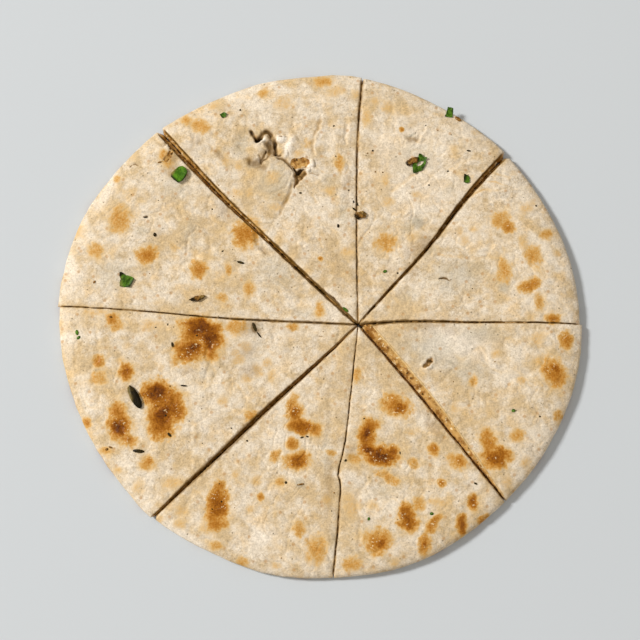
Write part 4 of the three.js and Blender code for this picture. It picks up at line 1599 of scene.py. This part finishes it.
@dataclass
class Flecks:
    """The seeds and specks that are pressed into the crust: the marked ones and a scatter of more."""

    scattered: int = 64
    radius: float = 112.0
    seed: int = 83

    def build(self, ground: Ground, finishes: dict[str, Material]) -> list[Piece]:
        """Builds the specks, those of a kind as one piece.

        Args:
            ground: the crust that they are pressed into.
            finishes: the materials, by slot.

        Returns:
            The finished pieces.
        """
        flecks = [*FLECKS, *self._scatter()]
        pieces = []
        for kind in Speck:
            bm = bmesh.new()
            for fleck in flecks:
                if fleck.kind is kind:
                    self._press(bm, ground, fleck)
            name = "flecks_" + kind.name.lower()
            piece = link(name, mesh_from(name, bm, finishes[kind.value]))
            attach(piece, "root")
            pieces.append(piece)
        return pieces

    def _scatter(self) -> list[Fleck]:
        """Scatters small specks evenly over the bread."""
        rng = np.random.default_rng(self.seed)
        specks = []
        for _ in range(self.scattered):
            radius, angle = self.radius * math.sqrt(rng.random()), rng.uniform(0, 2 * math.pi)
            length = 0.4 + 0.65 * rng.random() ** 2
            kind = Speck.BROWN if rng.random() < 0.4 else Speck.BLACK
            x, y = radius * math.cos(angle), radius * math.sin(angle)
            specks.append(Fleck(x, y, length, length * rng.uniform(0.5, 1), rng.uniform(0, 180), kind))
        return specks

    @staticmethod
    def _press(bm: BMesh, ground: Ground, fleck: Fleck) -> None:
        """Presses one speck half into the crust."""
        under = ground.under(fleck.x * MM, fleck.y * MM)
        if under is None or under[0].z < 0.003:
            return
        point, normal = under
        made = bmesh.ops.create_icosphere(bm, subdivisions=2, radius=0.5)["verts"]
        thick = 0.55 * fleck.width
        lean = Vector((0, 0, 1)).rotation_difference(normal).to_matrix().to_4x4()
        turn = Matrix.Rotation(math.radians(fleck.turn), 4, "Z")
        size = Matrix.Diagonal((fleck.length * MM, fleck.width * MM, thick * MM, 1))
        place = Matrix.Translation(point + normal * (0.1 * thick * MM))
        bmesh.ops.transform(bm, matrix=place @ lean @ turn @ size, verts=made)


BITS: tuple[Bit, ...] = (
    Morsel(
        node="spring_onion_bit", slot="onion_green", size=(7.2, 7.4, 2),
        outline=Outline(
            (
                (-0.4, -4.5), (1.8, -3.5), (3.4, -1.2), (3.9, 0.6), (3.1, 2.4), (1.5, 3.5), (0, 3.1),
                (-1.9, 1.7), (-3.7, -0.2), (-3.8, -1.7), (-2.3, -3.3),
            )
        ),
        squareness=0.34, dish=0.45, rough=0.03, sunk=0.1,
        dark=(Shade(225, 2.2, 3.9), Shade(-35, 2.4, 3.6, 0.8)),
        pale=(Shade(150, 1.3, 2.6, 0.9), Shade(80, 2.9, 3.6, 0.5)),
    ),
    Leaf(
        node="coriander_leaf_1",
        outline=Outline(
            (
                (-2.7, 3.5), (-1.9, 3.8), (-1.1, 3.2), (-0.3, 2.5), (1.5, 2.1), (3.1, 1.5), (3.9, 0.5),
                (3.1, -1.3), (1.9, -3.3), (-0.5, -3.2), (-2.7, -2.8), (-2.8, -1.1), (-2.4, 0.6),
                (-2.9, 2),
            )
        ),
        turnovers=(Turnover(125, 2.4, 0.5), Turnover(-20, 2, 0.25)),
        dark=(Shade(125, 2.3, 3.2), Shade(-35, 1.9, 2.8, 0.8)), pale=(Shade(190, 1, 2.6, 0.4),),
    ),
    Leaf(
        node="coriander_leaf_2",
        outline=Outline(
            (
                (-2.2, -5.4), (-0.6, -4.4), (1.2, -3.8), (2.4, -1.8), (3.1, 0.4), (2.7, 1.2),
                (3.7, 2.2), (1.9, 2.8), (0.7, 4.2), (-0.3, 4.2), (-0.5, 3), (-0.9, 2.2), (-1.8, 1),
                (-2.8, -0.2), (-3.4, -1.4), (-3.2, -3.4), (-3.1, -5),
            )
        ),
        turnovers=(Turnover(80, 2.6, 0.5), Turnover(0, 2, 0.4), Turnover(200, 2, 0.3)),
        hole=Oval(0.3, -0.4, 1.5, 3.5, -56), dark=(Shade(90, 3.2, 4.1), Shade(-60, 1.8, 2.9, 0.5)),
    ),
    Leaf(
        node="coriander_leaf_3",
        outline=Outline(
            (
                (-0.2, 3.9), (2.4, 3.2), (2.3, 1), (1.9, -1.4), (-1.9, -1.1), (-1.1, 0.4), (-0.7, 2),
            )
        ),
        turnovers=(Turnover(200, 1, 0.2),), dark=(Shade(0, 1.4, 2.1, 0.6), Shade(215, 0.8, 1.8)),
    ),
    Leaf(
        node="coriander_leaf_4",
        outline=Outline(
            (
                (-1, 2), (-0.2, 1.7), (1.2, 1), (1.6, 0), (1.5, -2), (0.2, -2.5), (-1.2, -1.9),
                (-1.3, 0.1),
            )
        ),
        turnovers=(Turnover(100, 0.8, 0.4),), dark=(Shade(160, -0.4, 0.7), Shade(60, 0.8, 1.6, 0.6)),
    ),
    Leaf(
        node="coriander_leaf_5",
        outline=Outline(((-1.7, 0.3), (-0.5, -1.5), (1.2, -1), (1.7, 0.7), (0.3, 1.5))),
        turnovers=(Turnover(30, 0.5, 0.3),), dark=(Shade(225, 0.2, 1.2, 0.7),),
    ),
    Morsel(
        node="chilli_sliver", slot="chilli_olive", size=(11, 4, 1.9), offset=(-0.3, -0.3), turn=-61,
        squareness=0.62, ridges=5, ridge=0.08, rough=0.04, sunk=0.2, dark=(Shade(0, -1.2, 0.6),),
        pale=(Shade(195, 0.6, 2, 0.7),),
    ),
    Morsel(
        node="cumin_seed", size=(6.2, 2, 1.4), offset=(0.1, -0.3), turn=14, ridges=4, ridge=0.14,
        rough=0.34, sunk=0.2, dark=(Shade(205, 0.4, 1.8), Shade(-60, 0.6, 1.2, 0.7)),
        pale=(Shade(20, 0.6, 1.8, 0.5),),
    ),
    Morsel(
        node="fried_onion_crumb_1", size=(6.3, 2.9, 1.6), offset=(2.1, 0.1), turn=27, rough=0.28,
        sunk=0.2, seed=61, dark=(Shade(205, 1.6, 2.8), Shade(15, 1.8, 2.6, 0.8)),
    ),
    Morsel(
        node="fried_onion_crumb_2", size=(5.6, 3.3, 1.5), turn=12, rough=0.3, sunk=0.25, seed=71,
        dark=(Shade(230, 0.4, 1.8),), pale=(Shade(60, 0, 1.2, 0.4),),
    ),
)


@dataclass
class Garnish:
    """The chopped herbs, seeds and crumbs on the bread."""

    bits: tuple[Bit, ...] = BITS

    def build(self, ground: Ground, finishes: dict[str, Material]) -> None:
        """Builds every bit and reports it.

        Args:
            ground: the crust that they lie on.
            finishes: the materials, by slot.
        """
        built = [bit.build(ground, finishes[bit.slot]) for bit in self.bits]
        for piece in built + Flecks().build(ground, finishes):
            LOG.info("%s: %d faces", piece.name, len(piece.data.polygons))


# ---- Shader building -----------------------------------------------------------------------


class Graph:
    """A material's nodes."""

    def __init__(self, name: str) -> None:
        """Starts an empty material.

        Args:
            name: the material's name.
        """
        self.material = bpy.data.materials.new(name)
        self.material.use_nodes = True
        self.tree = self.material.node_tree
        self.tree.nodes.clear()

    def node(
        self, kind: str, settings: dict | None = None, inputs: dict | None = None
    ) -> bpy.types.Node:
        """Adds a node.

        Args:
            kind: the node's type.
            settings: its properties; stops holds a ramp's positions and colours.
            inputs: values or links for its sockets, by name or number.

        Returns:
            The node.
        """
        made = self.tree.nodes.new(kind)
        for name, value in (settings or {}).items():
            if name == "stops":
                self._set_stops(made.color_ramp, value)
            else:
                setattr(made, name, value)
        for key, value in (inputs or {}).items():
            socket = made.inputs[key]
            if isinstance(value, Value):
                self.tree.links.new(value.socket, socket)
            elif isinstance(value, Socket):
                self.tree.links.new(value, socket)
            else:
                socket.default_value = value
        return made

    @staticmethod
    def _set_stops(ramp: bpy.types.ColorRamp, stops: Sequence[tuple[float, Colour]]) -> None:
        """Gives a ramp its stops."""
        while len(ramp.elements) < len(stops):
            ramp.elements.new(1.0)
        for element, (position, colour) in zip(ramp.elements, stops):
            element.position = position
            element.color = colour

    def value(
        self, kind: str, output: str | int, settings: dict | None = None, inputs: dict | None = None
    ) -> "Value":
        """Adds a node and takes one of its outputs as a number.

        Args:
            kind: the node's type.
            output: the output's name or number.
            settings: its properties.
            inputs: values or links for its sockets.

        Returns:
            The number.
        """
        return Value(self, self.node(kind, settings, inputs).outputs[output])

    def vector(self, operation: str, inputs: dict) -> Socket:
        """Adds a Vector Math node."""
        return self.node("ShaderNodeVectorMath", {"operation": operation}, inputs).outputs[0]

    def attribute(self, name: str) -> "Value":
        """A number written on the mesh."""
        return self.value("ShaderNodeAttribute", "Fac", {"attribute_name": name})

    def places(self) -> Socket:
        """Object coordinates, in millimetres."""
        here = self.node("ShaderNodeTexCoord").outputs["Object"]
        return self.vector("SCALE", {0: here, "Scale": 1 / MM})

    def moved(self, at: Socket, seed: float) -> Socket:
        """Places moved well away, so that two noises differ."""
        return self.vector("ADD", {0: at, 1: (seed, seed * 1.7, seed * 0.6)})

    def noise(self, at: Socket, size: float, detail: float = 2.0, seed: float = 0.0) -> "Value":
        """Cloudy noise about 0.5.

        Args:
            at: the places, in millimetres.
            size: a cloud's width, in millimetres.
            detail: how many finer layers it has.
            seed: which clouds.

        Returns:
            The noise.
        """
        inputs = {"Vector": self.moved(at, seed), "Scale": 1 / size, "Detail": detail, "Roughness": 0.55}
        return self.value("ShaderNodeTexNoise", 0, inputs=inputs)

    def dots(self, at: Socket, apart: float, radius: float, share: float, seed: float) -> "Value":
        """Scattered dots on the plan.

        Args:
            at: the places, in millimetres.
            apart: the side of the square that holds about one dot.
            radius: a dot's radius.
            share: the share of the squares that have one.
            seed: which dots.

        Returns:
            1 in a dot and 0 outside.
        """
        cells = self.node(
            "ShaderNodeTexVoronoi",
            {"voronoi_dimensions": "2D"},
            {"Vector": self.moved(at, seed), "Scale": 1 / apart, "Randomness": 1.0},
        )
        near = Value(self, cells.outputs["Distance"]).eased(radius / apart * 1.5, radius / apart * 0.5)
        chance = self.value("ShaderNodeSeparateColor", 0, inputs={0: cells.outputs["Color"]})
        return near * chance.eased(share, share * 0.7)

    def mix(self, share: "Value | float", first: object, second: object) -> Socket:
        """Mixes two colours by a share of the second."""
        settings = {"data_type": "RGBA", "clamp_factor": True}
        return self.node("ShaderNodeMix", settings, {0: share, 6: first, 7: second}).outputs[2]

    def brighten(self, colour: Socket, amount: "Value") -> Socket:
        """Multiplies a colour by a number."""
        return self.vector("SCALE", {0: colour, "Scale": amount})

    def finish(
        self, inputs: dict, relief: "Value | None" = None, depth: float = 0.1
    ) -> Material:
        """Ends the material in its shader.

        Args:
            inputs: values or links for the shader's sockets.
            relief: a fine relief from 0 to 1.
            depth: how deep that relief is, in millimetres.

        Returns:
            The material.
        """
        if relief is not None:
            bump = {"Height": relief, "Distance": depth * MM, "Strength": 1.0}
            inputs = {**inputs, "Normal": self.node("ShaderNodeBump", inputs=bump).outputs[0]}
        shader = self.node("ShaderNodeBsdfPrincipled", inputs=inputs)
        self.node("ShaderNodeOutputMaterial", inputs={"Surface": shader.outputs[0]})
        return self.material


class Value:
    """A number that changes over a surface, with Python's arithmetic."""

    def __init__(self, graph: Graph, socket: Socket) -> None:
        """Wraps a socket.

        Args:
            graph: the material it is in.
            socket: the output that gives the number.
        """
        self.graph = graph
        self.socket = socket

    def _math(self, operation: str, *operands: "Value | float") -> "Value":
        """Adds a Math node."""
        return self.graph.value("ShaderNodeMath", 0, {"operation": operation}, dict(enumerate(operands)))

    def __add__(self, other: "Value | float") -> "Value":
        """This plus another."""
        return self._math("ADD", self, other)

    __radd__ = __add__

    def __sub__(self, other: "Value | float") -> "Value":
        """This less another."""
        return self._math("SUBTRACT", self, other)

    def __rsub__(self, other: float) -> "Value":
        """Another less this."""
        return self._math("SUBTRACT", other, self)

    def __mul__(self, other: "Value | float") -> "Value":
        """This times another."""
        return self._math("MULTIPLY", self, other)

    __rmul__ = __mul__

    def __abs__(self) -> "Value":
        """This without its sign."""
        return self._math("ABSOLUTE", self)

    def eased(self, low: float, high: float) -> "Value":
        """A smooth step from 0 at low to 1 at high."""
        inputs = {"Value": self, "From Min": low, "From Max": high}
        return self.graph.value("ShaderNodeMapRange", 0, {"interpolation_type": "SMOOTHSTEP"}, inputs)


# ---- Finishes ------------------------------------------------------------------------------


@dataclass(frozen=True)
class CrustFinish:
    """Baked dough: mottled cream, browning to dark where scorched, with crumb on its cut faces, and
    painted shade and painted highlights.
    """

    cream: Colour = srgb(232, 216, 192)
    shade: Colour = srgb(208, 180, 136)
    haze: Colour = srgb(226, 188, 128)
    grey: Colour = srgb(190, 180, 158)
    thread: Colour = srgb(178, 150, 104)
    pale: Colour = srgb(248, 236, 218)
    freckle: Colour = srgb(190, 140, 78)
    glint: Colour = srgb(244, 218, 168)
    fleck: Colour = srgb(96, 76, 44)
    painted_shade_brown: Colour = srgb(124, 86, 12)
    shade_and_stain: Colour = srgb(50, 30, 0)
    dough: Colour = srgb(226, 192, 134)
    filling: Colour = srgb(202, 156, 88)
    filling_red: Colour = srgb(148, 98, 36)
    filling_pale: Colour = srgb(244, 222, 176)
    browning: tuple[tuple[float, Colour], ...] = (
        (0.0, srgb(234, 204, 152)),
        (0.2, srgb(220, 178, 112)),
        (0.36, srgb(204, 150, 74)),
        (0.52, srgb(184, 120, 36)),
        (0.68, srgb(156, 92, 10)),
        (0.84, srgb(126, 68, 2)),
        (1.0, srgb(88, 42, 0)),
    )

    def build(self) -> Material:
        """Makes the material.

        Returns:
            The crust's material.
        """
        g = Graph("bread_crust")
        at = g.places()
        broad = g.noise(at, 24, 3)
        mottle = g.noise(at, 6.5, 3, seed=11)
        fine = g.noise(at, 1.9, 2, seed=23)
        grain = g.noise(at, 0.8, 1, seed=41)
        patchy = g.noise(at, 3.8, 2, seed=37)
        colour = g.mix((broad + mottle).eased(0.82, 1.22) * 0.94, self.cream, self.shade)
        colour = g.mix(g.noise(at, 8, 4, seed=5).eased(0.5, 0.72) * 0.55, colour, self.haze)
        colour = self._threads(g, at, colour)
        # paler: lighter dough, and painted highlight on lit lips, ridges and the west rim
        colour = g.mix(g.attribute("pale") * (0.4 + mottle), colour, self.pale)
        # greyer: stuffing under the dough, and painted shade beside folds and raised edges
        colour = g.mix(g.attribute("grey") * (0.25 + 1.2 * fine), colour, self.grey)
        mottle = 0.46 * (fine - 0.5) + 0.74 * (grain - 0.5) + 0.22 * (patchy - 0.5)
        colour = g.brighten(colour, 1 + mottle)
        colour = g.mix(g.dots(at, 6.2, 0.75, 0.4, 7) * 0.55, colour, self.freckle)
        colour = g.mix(g.dots(at, 6.8, 0.34, 0.25, 13) * 0.7, colour, self.fleck)
        colour = g.mix(g.dots(at, 3.1, 0.24, 0.2, 29) * 0.4, colour, self.fleck)
        colour, scorch = self._scorched(g, at, colour, fine, grain)
        colour = self._stuffed(g, at, colour)
        # painted shade: creases, holes, cuts and shaded patches darken to brown, then to near black
        shade = g.attribute("shade_and_stain")
        colour = g.mix(shade.eased(0.0, 0.6) * 0.85, colour, self.painted_shade_brown)
        colour = g.mix(shade.eased(0.3, 0.9) * 0.95, colour, self.shade_and_stain)
        rough = 0.56 - 0.2 * scorch.eased(0.2, 0.8) + 0.35 * (fine - 0.5)
        relief = 0.5 * fine + 0.5 * grain
        look = {"Base Color": colour, "Roughness": rough, "Specular IOR Level": 0.18}
        return g.finish(look, relief, depth=0.26)

    def _threads(self, g: Graph, at: Socket, colour: Socket) -> Socket:
        """Lets dark threads of stuffing show faintly through thin dough."""
        line = abs(g.noise(at, 3.6, 2, seed=91) - 0.5).eased(0.05, 0.0)
        where = g.noise(at, 12, 2, seed=97).eased(0.44, 0.66)
        return g.mix(line * where * 0.42, colour, self.thread)

    def _scorched(
        self, g: Graph, at: Socket, colour: Socket, fine: Value, grain: Value
    ) -> tuple[Socket, Value]:
        """Browns a colour where the crust is scorched, in grains rather than evenly, and paints pale
        glints on it as highlights.
        """
        burnt = g.attribute("scorch")
        scorch = burnt + burnt.eased(0.02, 0.4) * (0.3 * (fine - 0.5) + 0.42 * (grain - 0.5))
        tone = g.node("ShaderNodeValToRGB", {"stops": self.browning}, {0: scorch}).outputs[0]
        colour = g.mix(scorch.eased(0.0, 0.3), colour, tone)
        # painted glints: pale specks on the scorch marks stand in for highlights
        glints = g.noise(at, 0.95, 1, seed=57).eased(0.58, 0.68) * burnt.eased(0.2, 0.45)
        glints = glints * g.noise(at, 5, 2, seed=61).eased(0.5, 0.64) * 0.75
        return g.mix(glints, colour, self.glint), scorch

    def _stuffed(self, g: Graph, at: Socket, colour: Socket) -> Socket:
        """Shows the stuffing in the tear and, between two layers of dough, on the cut faces."""
        lumps = g.noise(at, 2.6, 3, seed=67)
        bits = g.noise(at, 1.8, 2, seed=71)
        stuffing = g.mix(lumps.eased(0.44, 0.62), self.filling, self.filling_red)
        stuffing = g.mix(bits.eased(0.6, 0.68) * 0.8, stuffing, self.filling_pale)
        stuffing = g.mix(bits.eased(0.38, 0.3) * 0.8, stuffing, self.shade_and_stain)
        rise = g.attribute("rise") + 0.3 * (lumps - 0.5)
        crumb = g.mix(rise.eased(0.1, 0.2) * rise.eased(0.93, 0.8), self.dough, stuffing)
        colour = g.mix(g.attribute("filling").eased(0.1, 0.7), colour, stuffing)
        return g.mix(g.attribute("crumb"), colour, crumb)


@dataclass(frozen=True)
class HerbFinish:
    """A chopped leaf, stalk, seed or crumb: mottled, grainy and a little shiny."""

    name: str
    light: Colour
    dark: Colour
    spark: Colour
    film_and_painted_highlight: Colour = srgb(150, 128, 72)
    edge: Colour = srgb(24, 18, 2)
    size: float = 2.0
    roughness: float = 0.42

    def build(self) -> Material:
        """Makes the material.

        Returns:
            The herb's material.
        """
        g = Graph(self.name)
        at = g.places()
        clouds = g.noise(at, self.size, 3, seed=3)
        fine = g.noise(at, 0.6, 2, seed=19)
        colour = g.mix((clouds + 0.5 * fine).eased(0.6, 0.9), self.dark, self.light)
        colour = g.mix(g.noise(at, 1.0, 2, seed=53).eased(0.6, 0.72) * 0.6, colour, self.spark)
        # pale and dark sides: painted highlight toward the light and painted shade away from it, with
        # some of the bit's own colour
        colour = g.mix(g.attribute("pale") * (0.4 + clouds), colour, self.film_and_painted_highlight)
        colour = g.mix(g.attribute("dark") * (0.5 + 0.8 * fine), colour, self.edge)
        rough = self.roughness + 0.3 * (fine - 0.5)
        look = {"Base Color": colour, "Roughness": rough, "Specular IOR Level": 0.12}
        return g.finish(look, 0.5 * clouds + 0.5 * fine, depth=0.25)


HERBS = (
    HerbFinish("leaf_green", srgb(90, 128, 34), srgb(48, 76, 8), srgb(136, 164, 84), size=1.8),
    HerbFinish("onion_green", srgb(96, 142, 30), srgb(58, 98, 10), srgb(124, 156, 60), size=3.0),
    HerbFinish("chilli_olive", srgb(62, 48, 14), srgb(30, 22, 4), srgb(96, 82, 36), size=2.4),
    HerbFinish("fried_brown", srgb(156, 112, 50), srgb(92, 58, 16), srgb(226, 190, 128), size=1.4),
)


# ---- Studio --------------------------------------------------------------------------------


@dataclass(frozen=True)
class Lamp:
    """A square light that faces the bread: degrees anticlockwise from east and above the floor."""

    name: str
    azimuth: float
    elevation: float
    distance: float
    size: float
    power: float

    def build(self) -> None:
        """Hangs the light."""
        lamp = bpy.data.lights.new(self.name, "AREA")
        lamp.size = self.size
        lamp.energy = self.power
        hang(self.name, lamp, Vector(), self.azimuth, self.elevation, self.distance)


@dataclass
class Studio:
    """A pale floor, a soft low light from the west-north-west, and the camera high in the south."""

    floor_colour: Colour = srgb(206, 210, 212)
    floor_half: float = 3.0
    floor_gap: float = 0.0002
    world: float = 0.36
    world_colour: Colour = (1.0, 0.955, 0.9, 1.0)
    aim_off: tuple[float, float] = (0.0002, -0.0015)
    aim_height: float = 0.007
    azimuth: float = -90.0
    elevation: float = 79.2
    distance: float = 0.6934
    lens: float = 85.0
    sensor: float = 36.0
    lamps: tuple[Lamp, ...] = (
        Lamp("key", azimuth=160, elevation=38, distance=5.0, size=0.9, power=240.0),
        Lamp("fill", azimuth=-40, elevation=60, distance=3.0, size=2.4, power=10.0),
    )

    def build(self) -> None:
        """Makes the floor, the lights and the camera."""
        self._floor()
        for lamp in self.lamps:
            lamp.build()
        world = bpy.data.worlds.new("studio")
        world.use_nodes = True
        sky = world.node_tree.nodes["Background"].inputs
        sky[0].default_value = self.world_colour
        sky[1].default_value = self.world
        bpy.context.scene.world = world
        bpy.context.scene.view_settings.view_transform = "Standard"
        self._camera()

    def _floor(self) -> None:
        """Lays the floor just under the bread."""
        bm = bmesh.new()
        bmesh.ops.create_grid(bm, x_segments=1, y_segments=1, size=self.floor_half)
        bmesh.ops.translate(bm, verts=bm.verts[:], vec=(0, 0, CAD_BOX[0].z - self.floor_gap))
        finish = Graph("floor").finish({"Base Color": self.floor_colour, "Roughness": 0.85})
        link("floor", mesh_from("floor", bm, finish))

    def _camera(self) -> None:
        """Puts the camera above the bread, a little to the south, looking at its upper crust."""
        middle = (CAD_BOX[0] + CAD_BOX[1]) / 2
        aim = Vector((middle.x + self.aim_off[0], middle.y + self.aim_off[1], self.aim_height))
        lens = bpy.data.cameras.new("camera")
        lens.lens = self.lens
        lens.sensor_width = self.sensor
        camera = hang("camera", lens, aim, self.azimuth, self.elevation, self.distance)
        bpy.context.scene.camera = camera


def main() -> None:
    """Builds the bread, its garnish and the studio, and reports each piece."""
    logging.basicConfig(level=logging.INFO, format="%(name)s: %(message)s")
    bread = Bread(Crust())
    bread.build(CrustFinish().build())
    Garnish().build(bread.ground(), {herb.name: herb.build() for herb in HERBS})
    Studio().build()


if __name__ == "__main__":
    main()
